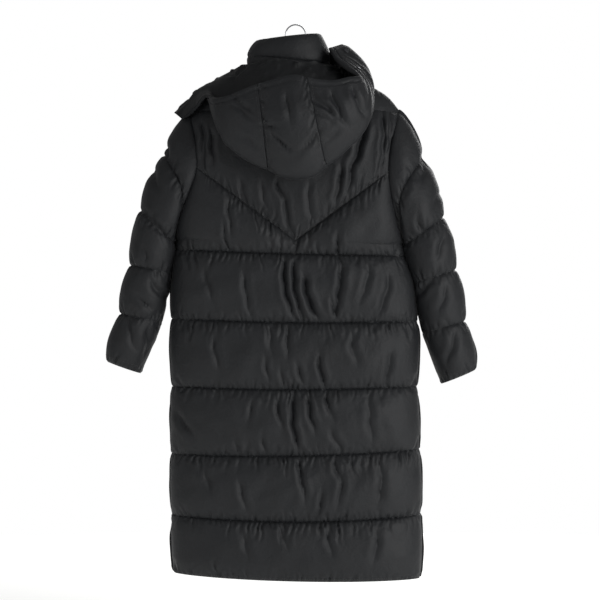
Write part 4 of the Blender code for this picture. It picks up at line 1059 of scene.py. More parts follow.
@dataclass
class Stitching:
    """Sewn lines: short raised stitches with a gap between them, as one joined piece."""
    material: bpy.types.Material
    stitch_length: float = 0.0032
    pitch: float = 0.0042
    half_width: float = 0.00045

    def __post_init__(self) -> None:
        """Start with no stitches."""
        self.points: list[Array] = []
        self.faces: list[tuple] = []
        self.count = 0

    def sew(self, line: Array, normals: Array) -> None:
        """Add stitches along a line that lies on the cloth.

        Args:
            line: The line's points.
            normals: The cloth's normals there.
        """
        run = run_along(line)
        starts = np.arange(self.pitch / 2, run[-1] - self.stitch_length, self.pitch)
        if not len(starts):
            return
        ends, halves = starts + self.stitch_length, starts + self.stitch_length / 2
        first, last = read_along(starts, run, line), read_along(ends, run, line)
        middle = read_along(halves, run, line)
        up = unit(read_along(halves, run, normals))
        side = unit(np.cross(last - first, up))
        size = self.half_width
        ring = [first, middle + side * size, middle + up * size, middle - side * size,
                middle - up * size * 0.5, last]
        block = np.stack(ring, axis=1)
        self.points.append(block.reshape(-1, 3))
        for k in range(len(starts)):
            base = self.count + 6 * k
            for a, b in ((1, 2), (2, 3), (3, 4), (4, 1)):
                self.faces.append((base, base + b, base + a))
                self.faces.append((base + 5, base + a, base + b))
        self.count += 6 * len(starts)

    def build(self, name: str) -> bpy.types.Object:
        """All the stitches as one mesh.

        Args:
            name: The piece's name.

        Returns:
            The piece.
        """
        mesh = bpy.data.meshes.new(name)
        mesh.from_pydata(np.concatenate(self.points).tolist(), [], self.faces)
        mesh.shade_smooth()
        return linked(name, mesh, self.material)


@dataclass(frozen=True)
class Padding:
    """How far a padded cloth stands out from its base, and the cloth's own thickness."""
    stitch_out: float = 0.0025
    lining_in: float = 0.0025
    steepness: float = 0.22
    armhole_puff: float = 0.05
    lump_share: float = 0.10
    lump_size: float = 0.085
    pucker: float = 0.0015
    pressed_limit: float = 0.80
    pressed_spare: float = 0.0006
    crease_room: float = 0.35
    underarm_ease: float = 0.02
    underarm_fade: float = 0.06
    pucker_share: float = 0.4
    pucker_runs: tuple[float, ...] = (0.0085, 0.0123, 0.0191)

    def edge_taper(self, s: Array, z: Array, underarm: float, edge_puff: float) -> Array:
        """Less swelling beside the side seams, and hardly any beside the armholes.

        Args:
            s: The columns, from -1 to 1.
            z: The points' heights.
            underarm: The height at which the armhole closes.
            edge_puff: The share left at a side seam.

        Returns:
            A share for each point.
        """
        low = self.armhole_puff + (edge_puff - self.armhole_puff) * np.clip(
            (underarm + self.underarm_ease - z) / self.underarm_fade, 0, 1)
        return low + (1 - low) * (1 - np.abs(s) ** 8)

    def stitched(self, along: Array, line: int) -> Array:
        """The cloth's height on a stitch line, a little puckered.

        Args:
            along: Places along the line.
            line: The line's number, which seeds it.

        Returns:
            A distance from the base for each place.
        """
        rng = np.random.default_rng(900 + line)
        wave = np.zeros_like(along)
        for size in self.pucker_runs:
            wave += np.sin(along * 2 * math.pi / size + rng.random() * 6.3)
        return self.stitch_out + self.pucker * self.pucker_share * wave

    def channel(self, swell: Array, along: Array, from_top: Array, from_bottom: Array,
                creases: Array, gathers: tuple[Optional[Gathers], Optional[Gathers]],
                seed: int, wrap: float = 0.0) -> Array:
        """Outer distance over one channel.

        Args:
            swell: The smooth swelling at each point.
            along: Each point's place along the stitching.
            from_top: Its distance from the upper stitching.
            from_bottom: Its distance from the lower stitching.
            creases: Depth of the long creases there.
            gathers: The puckers off the upper and the lower stitching.
            seed: Seed of the random numbers.
            wrap: The length after which the stitching closes on itself, or 0.

        Returns:
            The distance from the base for each point.
        """
        rng = np.random.default_rng(seed)
        full = np.maximum(swell.max(axis=0, keepdims=True), 1e-6)
        share = swell / full
        uneven = 1 + self.lump_share * lumps(along, from_top, self.lump_size, rng)
        pressed = np.zeros_like(swell)
        for sewn, away in zip(gathers, (from_top, from_bottom)):
            if sewn is not None:
                pressed += gathered(sewn, along, away, rng, wrap)
        pressed = pressed * share ** 0.3 + creases * np.minimum(share + self.crease_room, 1)
        pressed = np.minimum(pressed, self.pressed_limit * swell + self.pressed_spare)
        return self.stitch_out + swell * uneven - pressed


def gathered(sewn: Gathers, along: Array, away: Array, rng: np.random.Generator,
             wrap: float) -> Array:
    """Puckers along a line that may close on itself; they fade out where its ends meet.

    Args:
        sewn: The puckers.
        along: Each point's place along the line.
        away: Its distance from the line.
        rng: Seeded random numbers.
        wrap: The closed line's length, or 0.

    Returns:
        A depth for each point.
    """
    if not wrap:
        return sewn.pressed(along, away, rng)
    state = rng.integers(1 << 30)
    total = sewn.pressed(along, away, np.random.default_rng(state))
    ease = np.clip(np.minimum(along, wrap - along) / 0.012, 0, 1)
    return total * ease


# ---- the body's pieces
@dataclass(frozen=True)
class BodyPieces:
    """The back yoke, the back panel and the two fronts."""
    form: CoatForm
    padding: Padding
    columns: int = 290
    front_columns: int = 112
    channel_rows: int = 42
    yoke_rows: int = 110
    front_yoke_rows: int = 70
    inner_every: int = 6
    back_puff: float = 0.020
    front_puff: float = 0.018
    yoke_puff: float = 0.012
    back_edge_puff: float = 0.22
    front_edge_puff: float = 0.45
    zip_ease: float = 0.016
    back_seed: int = 21
    yoke_seed: int = 41
    front_yoke_seed: int = 51
    front_seed: int = 61
    crowding: float = 0.55
    yoke_crowding: float = 0.6
    hem_row: int = -5
    zip_column: int = -4
    v_seam_rows: tuple[int, int] = (-3, -6)

    def rows(self, count: int) -> Array:
        """Rows across a channel, closer together at its stitching."""
        even = np.linspace(0, 1, count + 1)
        return even - self.crowding * np.sin(2 * math.pi * even) / (2 * math.pi)

    def channels(self, s: Array, face: int, puff: float, edge_puff: float,
                 creases: Sequence[Crease], seed: int) -> tuple[Array, Array]:
        """Base points and outer distances of all the channels below the yoke.

        Args:
            s: The columns.
            face: -1 for the back, 1 for a front.
            puff: The fullest swelling.
            edge_puff: The share of it left at a side seam.
            creases: The piece's long creases.
            seed: Seed of the random numbers.

        Returns:
            The grid and the distance from it to the outer face.
        """
        ts = self.rows(self.channel_rows)
        grids, outs = [], []
        for channel in range(len(BODY_STITCHES)):
            grid = self.form.channel_grid(s, channel, ts, face)
            x, z = grid[..., 0], grid[..., 2]
            height = z[:1] - z[-1:]
            full = np.minimum(puff, self.padding.steepness * height)
            taper = self.padding.edge_taper(s[None, :], z, float(self.form.underarm(0.0)),
                                            edge_puff)
            swell = full * channel_swell(ts)[:, None] * taper
            dense = Gathers(spacing=0.0075 if face < 0 else 0.0085)
            lower = Gathers(spacing=0.0080, longest=0.036)
            out = self.padding.channel(swell, x, z[:1] - z, z - z[-1:],
                                       crease_depth(x, z, creases), (dense, lower),
                                       seed + channel)
            out[0] = self.padding.stitched(x[0], 10 * seed + channel)
            out[-1] = self.padding.stitched(x[-1], 10 * seed + channel + 1)
            start = 0 if channel == 0 else 1
            grids.append(grid[start:])
            outs.append(out[start:])
        outward = np.concatenate(outs)
        outward[0] = self.padding.stitch_out
        outward[-1] = self.padding.stitch_out
        return np.concatenate(grids), outward

    def shoulders(self, s: Array, face: int, rows: int, creases: Sequence[Crease],
                  seed: int) -> tuple[Array, Array]:
        """Base points and outer distances of a part over the shoulders.

        Args:
            s: The columns, from -1 to 1.
            face: -1 for the back, 1 for the front.
            rows: Rows of the part.
            creases: Its long creases.
            seed: Seed of the random numbers.

        Returns:
            The grid and the distance from it to the outer face.
        """
        ts = np.linspace(0, 1, rows + 1)
        ts = ts - self.yoke_crowding * np.sin(2 * math.pi * ts) / (2 * math.pi)
        grid = self.form.shoulder_grid(s, ts, face)
        x, z = grid[..., 0], grid[..., 2]
        swell = self.yoke_puff * np.clip(4 * ts * (1 - ts), 0, 1)[:, None] ** 0.8
        swell = swell * self.padding.edge_taper(s[None, :], z, -9.0,
                                                self.padding.armhole_puff)
        drop = z[:1] - z
        out = self.padding.channel(
            swell, x, drop, z - z[-1:], crease_depth(x, z, creases),
            (Gathers(spacing=0.016, depth=0.0022, longest=0.03),
             Gathers(spacing=0.0075, longest=0.046)), seed)
        out[0] = out[-1] = self.padding.stitch_out
        return grid, out

    def build(self, nylon: bpy.types.Material, stitching: Stitching) -> None:
        """Make and dress the four pieces, and sew their stitch lines.

        Args:
            nylon: The shell's finish.
            stitching: Where its stitches go.
        """
        s = self.form.back_columns(self.columns)
        panel, panel_out = self.channels(s, -1, self.back_puff, self.back_edge_puff,
                                         BACK_CREASES, self.back_seed)
        panel_normals = self.form.seam_normals(panel, s, -1, False)
        panel = panel.copy()
        panel[0, :, 2] -= 1.5 * self.form.seam_gap
        yoke, yoke_out = self.shoulders(s, -1, self.yoke_rows, YOKE_CREASES,
                                        self.yoke_seed)
        yoke_normals = self.form.seam_normals(yoke, s, -1, True)
        shared = unit(yoke_normals[-1] + panel_normals[0])
        yoke_normals[-1] = panel_normals[0] = shared
        back = ClothWall("back_panel_cloth", panel, panel_normals, panel_out,
                         self.padding.lining_in, self.inner_every)
        top = ClothWall("back_yoke_cloth", yoke, yoke_normals, yoke_out,
                        self.padding.lining_in, self.inner_every)
        for wall, node in ((back, "back_panel"), (top, "back_yoke")):
            piece = dress(wall.build(nylon), [node])
        for channel in range(1, len(BODY_STITCHES)):
            row = channel * self.channel_rows
            stitching.sew(*back.line(row))
        stitching.sew(*back.line(self.hem_row))
        for row in self.v_seam_rows:
            stitching.sew(*top.line(row))
        for side in Side:
            self.build_front(side, nylon, stitching)

    def build_front(self, side: Side, nylon: bpy.types.Material,
                    stitching: Stitching) -> None:
        """Make and dress one front, in one piece from the shoulder to the hem.

        Args:
            side: Which front.
            nylon: The shell's finish.
            stitching: Where its stitches go.
        """
        s = self.form.front_columns(side, self.front_columns)
        upper, upper_out = self.shoulders(s, 1, self.front_yoke_rows, FRONT_CREASES,
                                          self.front_yoke_seed + side.value)
        lower, lower_out = self.channels(s, 1, self.front_puff, self.front_edge_puff,
                                         FRONT_CREASES, self.front_seed + 7 * side.value)
        grid = np.concatenate([upper, lower[1:]])
        outward = np.concatenate([upper_out, lower_out[1:]])
        grid[:, -1, 0] = side.value * self.form.zip_half_gap
        from_zip = np.abs(grid[..., 0] - grid[:, -1:, 0])
        ease = quarter_round(from_zip / self.zip_ease)
        outward = self.padding.stitch_out + (outward - self.padding.stitch_out) * ease
        normals = self.form.seam_normals(grid, s, 1, True)
        name = f"front_{side.name.lower()}"
        wall = ClothWall(name + "_cloth", grid, normals, outward,
                         self.padding.lining_in, self.inner_every)
        piece = dress(wall.build(nylon), [name])
        for channel in range(len(BODY_STITCHES)):
            row = self.front_yoke_rows + channel * self.channel_rows
            stitching.sew(*wall.line(row))
        stitching.sew(*wall.line(self.hem_row))
        stitching.sew(*wall.line((slice(None), self.zip_column)))


# ---- sleeves
SLEEVE_CREASES = in_metres(
    Crease,
    (-342, -609, -311, -656, 7.5, 9), (-372, -645, -342, -680, 7.5, 8),
    (-345, -452, -312, -500, 7, 8), (-330, -330, -318, -400, 8, 7),
    (-392, -700, -380, -770, 7, 7), (-352, -720, -362, -790, 7, 6),
    (-350, -530, -356, -575, 7, 6), (-300, -270, -290, -340, 7, 6),
    (321, -610, 295, -643, 7, 9), (352, -620, 340, -680, 8, 6), (286, -455, 300, -505, 6, 6),
    (340, -500, 330, -560, 8, 7), (372, -730, 362, -800, 7, 7), (262, -380, 256, -412, 5, 5),
    (300, -300, 292, -370, 8, 7), (330, -400, 318, -440, 7, 5))


@dataclass(frozen=True)
class Sleeve:
    """One sleeve: a cap of two channels and three more down to the cuff."""
    form: CoatForm
    padding: Padding
    side: Side
    ring_rows: int = 66
    inner_every: int = 6
    cap_rows: int = 24
    tube_rows: int = 32
    puff: float = 0.013
    cap_steepness: float = 0.16
    cap_bulge: float = 0.008
    cap_split: tuple[float, float] = (0.16, 0.30)
    underarm_gap: float = 0.0050
    underarm_reach: float = 0.045
    armhole_step: float = 0.010
    underarm_share: float = 0.50
    body_side_share: float = 0.14
    seam_gaps: float = 2.6
    edge_rows: int = 5
    seed: int = 300

    def angles(self, ring: Array, count: int) -> Array:
        """An angle for each point of the armhole, by its distance along the edge.

        Args:
            ring: The armhole's points.
            count: How many of them run down the back.

        Returns:
            The angles.
        """
        run = run_along(np.concatenate([ring, ring[:1]]))
        back, whole, values = run[count - 1], run[-1], run[:-1]
        return np.where(values <= back, math.pi * values / back,
                        math.pi * (1 + (values - back) / (whole - back)))

    def ring_points(self, ring: Ring, angles: Array) -> Array:
        """Points of one stitch line round the sleeve.

        Args:
            ring: The stitch line.
            angles: An angle for each point.

        Returns:
            The points.
        """
        outer = np.array([ring.outer_x, ring.y, ring.outer_z])
        inner = np.array([ring.inner_x, ring.y, ring.inner_z])
        back = np.array([0, -ring.half_depth, 0])
        return ((outer + inner) / 2 + np.cos(angles)[:, None] * (outer - inner) / 2
                + np.sin(angles)[:, None] * back)

    def build(self, nylon: bpy.types.Material, stitching: Stitching) -> None:
        """Make and dress the sleeve, and sew its stitch lines.

        Args:
            nylon: The shell's finish.
            stitching: Where its stitches go.
        """
        sign = self.side.value
        armhole, edge_normals, count = self.form.armhole_ring(self.side, self.ring_rows)
        low = np.clip(1 - (armhole[:, 2] - armhole[:, 2].min()) / self.underarm_reach, 0, 1)
        gap = self.seam_gaps * self.form.seam_gap + self.underarm_gap * low
        armhole = armhole + np.outer(sign * gap, (1, 0, 0))
        angles = self.angles(armhole, count)
        rings = SLEEVE_RINGS[self.side]
        first = self.ring_points(rings[0], angles)
        top = (1 + np.cos(angles)) / 2
        split = self.cap_split[0] + self.cap_split[1] * top
        outward_way = unit(first - first.mean(axis=0))
        edges = ((np.zeros_like(split), split, self.cap_rows),
                 (split, np.ones_like(split), self.cap_rows))
        rows, swells, stitch_rows = [], [], []
        for start, end, steps in edges:
            ts = np.linspace(0, 1, steps + 1)[0 if not rows else 1:]
            for t in ts:
                share = start + (end - start) * t
                line = armhole + (first - armhole) * share[:, None]
                bulge = self.cap_bulge * np.sin(math.pi * share) * top
                line[:, 0] += sign * self.armhole_step * np.sin(
                    math.pi * np.sqrt(share)) * (1 - top)
                rows.append(line + outward_way * bulge[:, None])
                size = np.linalg.norm(first - armhole, axis=1) * (end - start)
                swells.append(np.minimum(self.puff, self.cap_steepness * size)
                              * channel_swell(t))
            stitch_rows.append(len(rows) - 1)
        previous = first
        for ring in rings[1:]:
            target = self.ring_points(ring, angles)
            for t in np.linspace(0, 1, self.tube_rows + 1)[1:]:
                rows.append(previous + (target - previous) * t)
                swells.append(np.full(len(angles), self.puff * channel_swell(t)))
            previous = target
            stitch_rows.append(len(rows) - 1)
        grid, swell = np.array(rows), np.array(swells)
        normals = grid_normals(grid, grid.mean(axis=1, keepdims=True), wrap=True)
        turn = np.clip(np.arange(len(grid)) / self.edge_rows, 0, 1)[:, None, None]
        normals = unit(normals * turn + edge_normals[None] * (1 - turn))
        least = np.interp(np.arange(len(grid)), (stitch_rows[1], stitch_rows[2]),
                          (self.underarm_share, self.body_side_share))[:, None]
        body_side = least + (1 - least) * np.clip((1 + np.cos(angles)) / 1.2, 0, 1)
        outward = self.puffed(grid, swell * body_side, angles, stitch_rows)
        name = f"sleeve_{self.side.name.lower()}"
        wall = ClothWall(name + "_cloth", grid, normals, outward,
                         self.padding.lining_in, self.inner_every, True)
        piece = dress(wall.build(nylon), [name])
        for row in (*stitch_rows[:-1], len(grid) - self.edge_rows):
            closed = [np.concatenate([part, part[:1]]) for part in wall.line(row)]
            stitching.sew(*closed)

    def puffed(self, grid: Array, swell: Array, angles: Array,
               stitch_rows: Sequence[int]) -> Array:
        """Outer distances of the whole sleeve, channel by channel.

        Args:
            grid: The sleeve's base points.
            swell: The smooth swelling there.
            angles: An angle for each column.
            stitch_rows: The rows that are stitched.

        Returns:
            The distance from the base for each point.
        """
        down = grid_runs(grid, 0)
        around = float(np.linalg.norm(np.diff(grid[-40], axis=0), axis=1).sum())
        along = np.repeat((angles / (2 * math.pi) * around)[None], len(grid), axis=0)
        creases = crease_depth(grid[..., 0], grid[..., 2], SLEEVE_CREASES)
        outward = np.empty(swell.shape)
        start = 0
        for number, end in enumerate(stitch_rows):
            part = slice(start, end + 1)
            first = None if number == 0 else Gathers(spacing=0.0095, longest=0.036)
            outward[part] = self.padding.channel(
                swell[part], along[part], down[part] - down[start], down[end] - down[part],
                creases[part], (first, Gathers(spacing=0.0095, longest=0.034)),
                self.seed + 10 * self.side.value + number, around)
            start = end
        outward[[0, *stitch_rows]] = self.padding.stitch_out
        return outward


# ---- collar
@dataclass(frozen=True)
class Collar:
    """The stand collar: a lower and an upper channel, open in front for the zip."""
    form: CoatForm
    padding: Padding
    columns: int = 220
    channel_rows: int = 16
    inner_every: int = 4
    puff: float = 0.009
    lower_share: float = 0.5
    zip_ease: float = 0.012
    turn_rows: int = 5
    seed: int = 400

    def level(self, ring: CollarRing, angles: Array, faces: Array) -> Array:
        """Points of one level; an angle is 0 in the middle and 90 degrees at a side.

        Args:
            ring: The level.
            angles: An angle for each point.
            faces: Its face, -1 or 1.

        Returns:
            The points.
        """
        x = ring.x + ring.half_width * np.sin(angles)
        z = ((ring.z_left + ring.z_right) / 2
             + (ring.z_right - ring.z_left) / 2 * np.sin(angles))
        return np.stack([x, faces * ring.half_depth * np.cos(angles), z], axis=1)

    def neck_edge(self) -> tuple[Array, Array, Array]:
        """The neck seam's points, from the left front round the back to the right.

        Returns:
            The points, their angles and their faces.
        """
        quarter = self.columns // 4
        turn = np.linspace(0, math.pi / 2, quarter + 1)
        parts = ((-turn[:-1], 1), (np.linspace(-1, 1, 2 * quarter + 1) * math.pi / 2, -1),
                 (turn[::-1][1:], 1))
        lines, angles, faces = [], [], []
        for angle, face in parts:
            s = angle / (math.pi / 2) * self.form.neck_share
            lines.append(self.form.shoulder_grid(s, np.zeros(1), face)[0])
            angles.append(angle)
            faces.append(np.full(len(angle), float(face)))
        line = np.concatenate(lines)
        line[0, 0], line[-1, 0] = -self.form.zip_half_gap, self.form.zip_half_gap
        return line, np.concatenate(angles), np.concatenate(faces)

    def grid(self) -> tuple[Array, Array, Array]:
        """The collar's base points, with each column's angle and face.

        Returns:
            The points, the angles and the faces.
        """
        base, angles, faces = self.neck_edge()
        base = base + np.array([0, 0, 2 * self.form.seam_gap])
        rows, previous = [base], base
        for ring in COLLAR_RINGS:
            level = self.level(ring, angles, faces)
            level[0] = (ring.x - self.form.zip_half_gap, ring.half_depth, level[0, 2])
            level[-1] = (ring.x + self.form.zip_half_gap, ring.half_depth, level[-1, 2])
            for t in self.steps()[1:]:
                rows.append(previous + (level - previous) * t)
            previous = level
        return np.array(rows), angles, faces

    def steps(self) -> Array:
        """Rows across one channel, closer together at its stitching."""
        even = np.linspace(0, 1, self.channel_rows + 1)
        return even - 0.5 * np.sin(2 * math.pi * even) / (2 * math.pi)

    def build(self, nylon: bpy.types.Material, stitching: Stitching) -> Array:
        """Make and dress the collar; returns its base points for the zip.

        Args:
            nylon: The shell's finish.
            stitching: Where its stitches go.

        Returns:
            The base points, by row and column.
        """
        grid, angles, faces = self.grid()
        normals = grid_normals(grid, grid.mean(axis=1, keepdims=True))
        first = np.stack([np.sin(angles), faces * np.cos(angles), 0 * angles], axis=1)
        turn = np.clip(np.arange(len(grid)) / self.turn_rows, 0, 1)[:, None, None]
        normals = unit(normals * turn + first[None] * (1 - turn))
        normals[:, (0, -1), 0] = 0
        normals = unit(normals)
        ts = self.steps()
        along = grid_runs(grid, 1)
        down = grid_runs(grid, 0)
        outward = np.empty(grid.shape[:2])
        sewn = Gathers(spacing=0.011, longest=0.016, depth=0.0022)
        for number in range(2):
            start = number * self.channel_rows
            part = slice(start, start + self.channel_rows + 1)
            full = self.puff * (self.lower_share if number == 0 else 1.0)
            swell = full * channel_swell(ts)[:, None] * np.ones(len(angles))
            outward[part] = self.padding.channel(
                swell, along[part], down[part] - down[part][:1],
                down[part][-1:] - down[part], np.zeros(swell.shape), (sewn, sewn),
                self.seed + number)
        from_zip = np.minimum(along, along[:, -1:] - along)
        ease = quarter_round(from_zip / self.zip_ease)
        outward = self.padding.stitch_out + (outward - self.padding.stitch_out) * ease
        outward[[0, -1]] = self.padding.stitch_out
        wall = ClothWall("collar_cloth", grid, normals, outward,
                         self.padding.lining_in, self.inner_every)
        dress(wall.build(nylon), ["collar"])
        for row in (self.channel_rows, len(grid) - 3, 2):
            stitching.sew(*wall.line(row))
        return grid


# ---- hood
def only_active(piece: bpy.types.Object) -> None:
    """Select one object alone and make it active.

    Args:
        piece: The object.
    """
    bpy.ops.object.select_all(action="DESELECT")
    piece.select_set(True)
    bpy.context.view_layer.objects.active = piece


@dataclass(frozen=True)
class PressStud:
    """A press stud's cap: a low disc with a rolled edge and a dished middle."""
    name: str
    node: str
    x: float
    z: float
    radius: float = 0.0058
    thickness: float = 0.0022
    dish: float = 0.0007
    dish_share: float = 0.62
    bevel: float = 0.0007

    def build(self, wall: ClothWall, nickel: bpy.types.Material) -> None:
        """Set the stud on the outside of a padded wall and dress it.

        Args:
            wall: The cloth that it is set in.
            nickel: Its finish.
        """
        half = len(wall.grid) // 2
        outside = (wall.grid + wall.normals * wall.outward[..., None])[half:]
        miss = np.hypot(outside[..., 0] - self.x, outside[..., 2] - self.z)
        row, column = np.unravel_index(int(miss.argmin()), miss.shape)
        near = (slice(max(row - 2, 0), row + 3), slice(max(column - 2, 0), column + 3))
        normal = Vector(unit(wall.normals[half:][near].reshape(-1, 3).mean(axis=0)))
        bpy.ops.object.select_all(action="DESELECT")
        bpy.ops.mesh.primitive_cylinder_add(vertices=48, radius=self.radius,
                                            depth=self.thickness)
        piece = bpy.context.active_object
        piece.name = self.name
        bpy.ops.object.mode_set(mode="EDIT")
        bpy.ops.mesh.select_mode(type="FACE")
        bpy.ops.mesh.select_all(action="DESELECT")
        shape = bmesh.from_edit_mesh(piece.data)
        for face in shape.faces:
            face.select = face.normal.z > 0.9
        bmesh.update_edit_mesh(piece.data)
        bpy.ops.mesh.inset(thickness=self.radius * (1 - self.dish_share))
        bpy.ops.transform.translate(value=(0, 0, -self.dish))
        bpy.ops.object.mode_set(mode="OBJECT")
        soft = piece.modifiers.new("rolled_edge", "BEVEL")
        soft.width, soft.segments, soft.limit_method = self.bevel, 3, "ANGLE"
        bpy.ops.object.modifier_apply(modifier=soft.name)
        bpy.ops.object.shade_smooth_by_angle(angle=math.radians(40))
        place = Vector(outside[row, column]) + normal * (self.thickness * 0.25)
        turn = normal.to_track_quat("Z", "Y").to_matrix().to_4x4()
        piece.data.transform(Matrix.Translation(place) @ turn)
        piece.data.materials.append(nickel)
        dress(piece, [self.node])


STUDS = (PressStud("hood_stud_upper", "hood_snap_upper", 0.121, -0.068),
         PressStud("hood_stud_lower", "hood_snap_lower", 0.149, -0.110))


class HoodStation(NamedTuple):
    """One line over the hood, from the neck to its lowest point and up to the rim."""
    neck_x: float
    neck_y: float
    neck_z: float
    low_x: float
    low_y: float
    low_z: float
    rim_x: float
    rim_y: float
    rim_z: float


HOOD = in_metres(
    HoodStation,
    (-289, 12, -210, -284, -12, -214.5, -270, -34, -227),
    (-262, 26, -188, -262, -8, -194, -250, -42, -216),
    (-238, 32, -164, -242, -6, -168, -234, -52, -198),
    (-208, 32, -142, -217, -16, -150, -218, -64, -178),
    (-172, 18, -122, -197, -46, -166, -204, -86, -176),
    (-142, -12, -109, -184, -104, -222, -184, -120, -184),
    (-116, -54, -99, -152, -132, -288, -152, -148, -180),
    (-80, -82, -91, -96, -142, -332, -102, -160, -160),
    (-44, -92, -91, -44, -146, -357, -54, -165, -146),
    (-8, -94, -94, 0, -146, -366, -4, -166, -134),
    (28, -91, -97, 46, -146, -356, 40, -165, -143),
    (62, -82, -99, 92, -142, -322, 84, -160, -147),
    (92, -58, -102, 140, -136, -270, 124, -150, -138),
    (100, -20, -106, 168, -110, -214, 146, -134, -134),
    (92, 10, -110, 168, -64, -134, 126, -114, -119),
    (81, 22, -96, 142, -28, -84, 96, -84, -94), (76, 18, -68, 110, -14, -50, 78, -50, -62))
HOOD_CREASES = in_metres(
    Crease,
    (34, -175, 93, -229, 6, 7), (-79, -250, -43, -252, 4.5, 5),
    (-55, -264, -41, -281, 4.5, 6), (-48, -281, -6, -304, 5.5, 6),
    (-149, -182, -95, -222, 7, 5), (-140, -205, -100, -236, 6, 5),
    (30, -190, 60, -206, 4.5, 4), (36, -214, 70, -236, 4.5, 4), (81, -175, 116, -245, 7, 6),
    (128, -163, 152, -222, 6, 5), (52, -262, 20, -300, 6, 5), (-20, -180, -12, -240, 8, 4),
    (-120, -270, -85, -300, 6, 4), (70, -285, 95, -262, 6, 4))


@dataclass(frozen=True)
class Hood:
    """The hood hanging down the back: three panels and the lining inside."""
    form: CoatForm
    padding: Padding
    substeps: int = 2
    loop_rows: int = 12
    fine_columns: int = 11
    fine_rows: int = 110
    inner_every: int = 6
    seam_left: tuple[float, float, float] = (7.6, 7.7, 7.3)
    seam_right: tuple[float, float, float] = (10.8, 10.7, 9.7)
    room: float = 0.021
    seam_room: float = 0.0115
    sewn_reach: float = 2.0
    sewn_fade: float = 0.25
    sewn_y: float = -0.066
    sewn_depth: float = 0.030
    wall: float = 0.005
    puff: float = 0.010
    lining: float = 0.002
    panel_gap: float = 0.00042
    inner_bow: float = 0.14
    near_share: float = 0.55
    far_share: float = 0.50
    collar_foot_z: float = -0.155
    collar_narrowing: float = 0.065
    collar_clear_z: float = -0.17
    lift_depth: float = 0.09
    casing: float = 0.013
    end_taper: float = 0.016
    beside_depth: float = 0.04
    least_room: float = 0.2
    off_shoulder: float = 0.262
    off_fade: float = 0.03
    seam_gathers: Gathers = Gathers(spacing=0.011, longest=0.034, depth=0.0052,
                                    half_width=0.0026)
    rim_gathers: Gathers = Gathers(spacing=0.0056, shortest=0.010, longest=0.024,
                                   depth=0.0040, half_width=0.0018, lean=0.08)
    rise: float = 2.2
    rise_start: float = 0.4
    outer_start: float = 0.45
    outer_fade: float = 0.1
    least_taper: float = 0.06
    crease_share: float = 1.5
    groove: float = 0.0022
    groove_width: float = 0.0018
    roll: float = 0.0012
    lump_share: float = 0.14
    lump_size: float = 0.08
    pressed_limit: float = 0.75
    pressed_spare: float = 0.0034
    left_calm: float = 0.09
    right_calm: float = 0.04
    least_pressed: float = 0.15
    slack_share: float = 0.35
    slack_size: float = 0.05
    bump: float = 0.006
    bump_size: float = 0.026
    bump_reach: float = 0.30
    seam_column: int = 3
    seed: int = 500
    lining_seed: int = 540

    def collar_reach(self, point: Array, room: float) -> tuple[float, float]:
        """How far out a point is, 1 at the collar plus a room, and the collar's middle.

        Args:
            point: The point.
            room: The room left round the collar.

        Returns:
            The reach and the middle's X.
        """
        share = min(max((point[2] - self.collar_foot_z) / self.collar_narrowing, 0), 1)
        ring, neck = COLLAR_RINGS[0], self.form.neck_half_width
        middle = ring.x * share
        half_width = neck + (ring.half_width - neck) * share
        return math.hypot((point[0] - middle) / (half_width + room),
                          point[1] / (ring.half_depth + room)), middle

    def sewn(self, point: Array) -> Array:
        """A point of the neck edge drawn in to the collar it is sewn to.

        Args:
            point: The point.

        Returns:
            The moved point.
        """
        reach, middle = self.collar_reach(point, self.seam_room)
        share = (min(max((self.sewn_reach - reach) / self.sewn_fade, 0), 1)
                 * min(max(1 + (self.sewn_y - point[1]) / self.sewn_depth, 0), 1))
        drawn = np.array([middle + (point[0] - middle) / reach, point[1] / reach, point[2]])
        return point + (drawn - point) * share

    def lifted(self, point: Array) -> Array:
        """A point moved out until its padding clears the collar and the back.

        Args:
            point: The point.

        Returns:
            The moved point.
        """
        x, y, z = point
        beside = self.room * min(max(-y / self.beside_depth, self.least_room), 1)
        reach, middle = self.collar_reach(point, beside)
        if z > self.collar_clear_z and 0.01 < reach < 1:
            x, y = middle + (x - middle) / reach, y / reach
        top = float(self.form.shoulder_height(x)) + self.room
        depth = self.form.torso(min(z, self.form.armhole_top), "back") + self.room
        centre_z = top - self.room - self.lift_depth
        for scale in np.arange(1.0, 1.6, 0.01):
            new_y = y * scale
            new_z = centre_z + (z - centre_z) * scale if z > centre_z else z
            wall = depth * quarter_round((top - new_z)
                                         / (self.form.shoulder_roll + self.room))
            if abs(new_y) >= wall:
                over = min(max((self.off_shoulder - abs(x)) / self.off_fade, 0), 1)
                return np.array([x, y + (new_y - y) * over, z + (new_z - z) * over])
        return np.array([x, y, z])

    def loop(self, station: Array) -> Array:
        """One line over the hood: down beside the back and up again to the rim.

        Args:
            station: A station's nine numbers.

        Returns:
            The line's points.
        """
        neck, low, rim = station[0:3], station[3:6], station[6:9]
        roll = max(min(neck[2], rim[2]) - low[2], 0.0) * self.inner_bow
        near = neck + (low - neck) * self.near_share + np.array(
            [0, roll * self.near_share, 0])
        far = low + (rim - low) * self.far_share + np.array([0, -roll, 0])
        knots = np.array([neck, near, low, far, rim])
        run = run_along(knots)
        places = np.linspace(0, run[-1], self.loop_rows + 1)
        line = np.stack([smooth_value(places, run, knots[:, k]) for k in range(3)], axis=1)
        line = np.array([self.lifted(point) for point in line])
        line[0] = self.sewn(line[0])
        return line

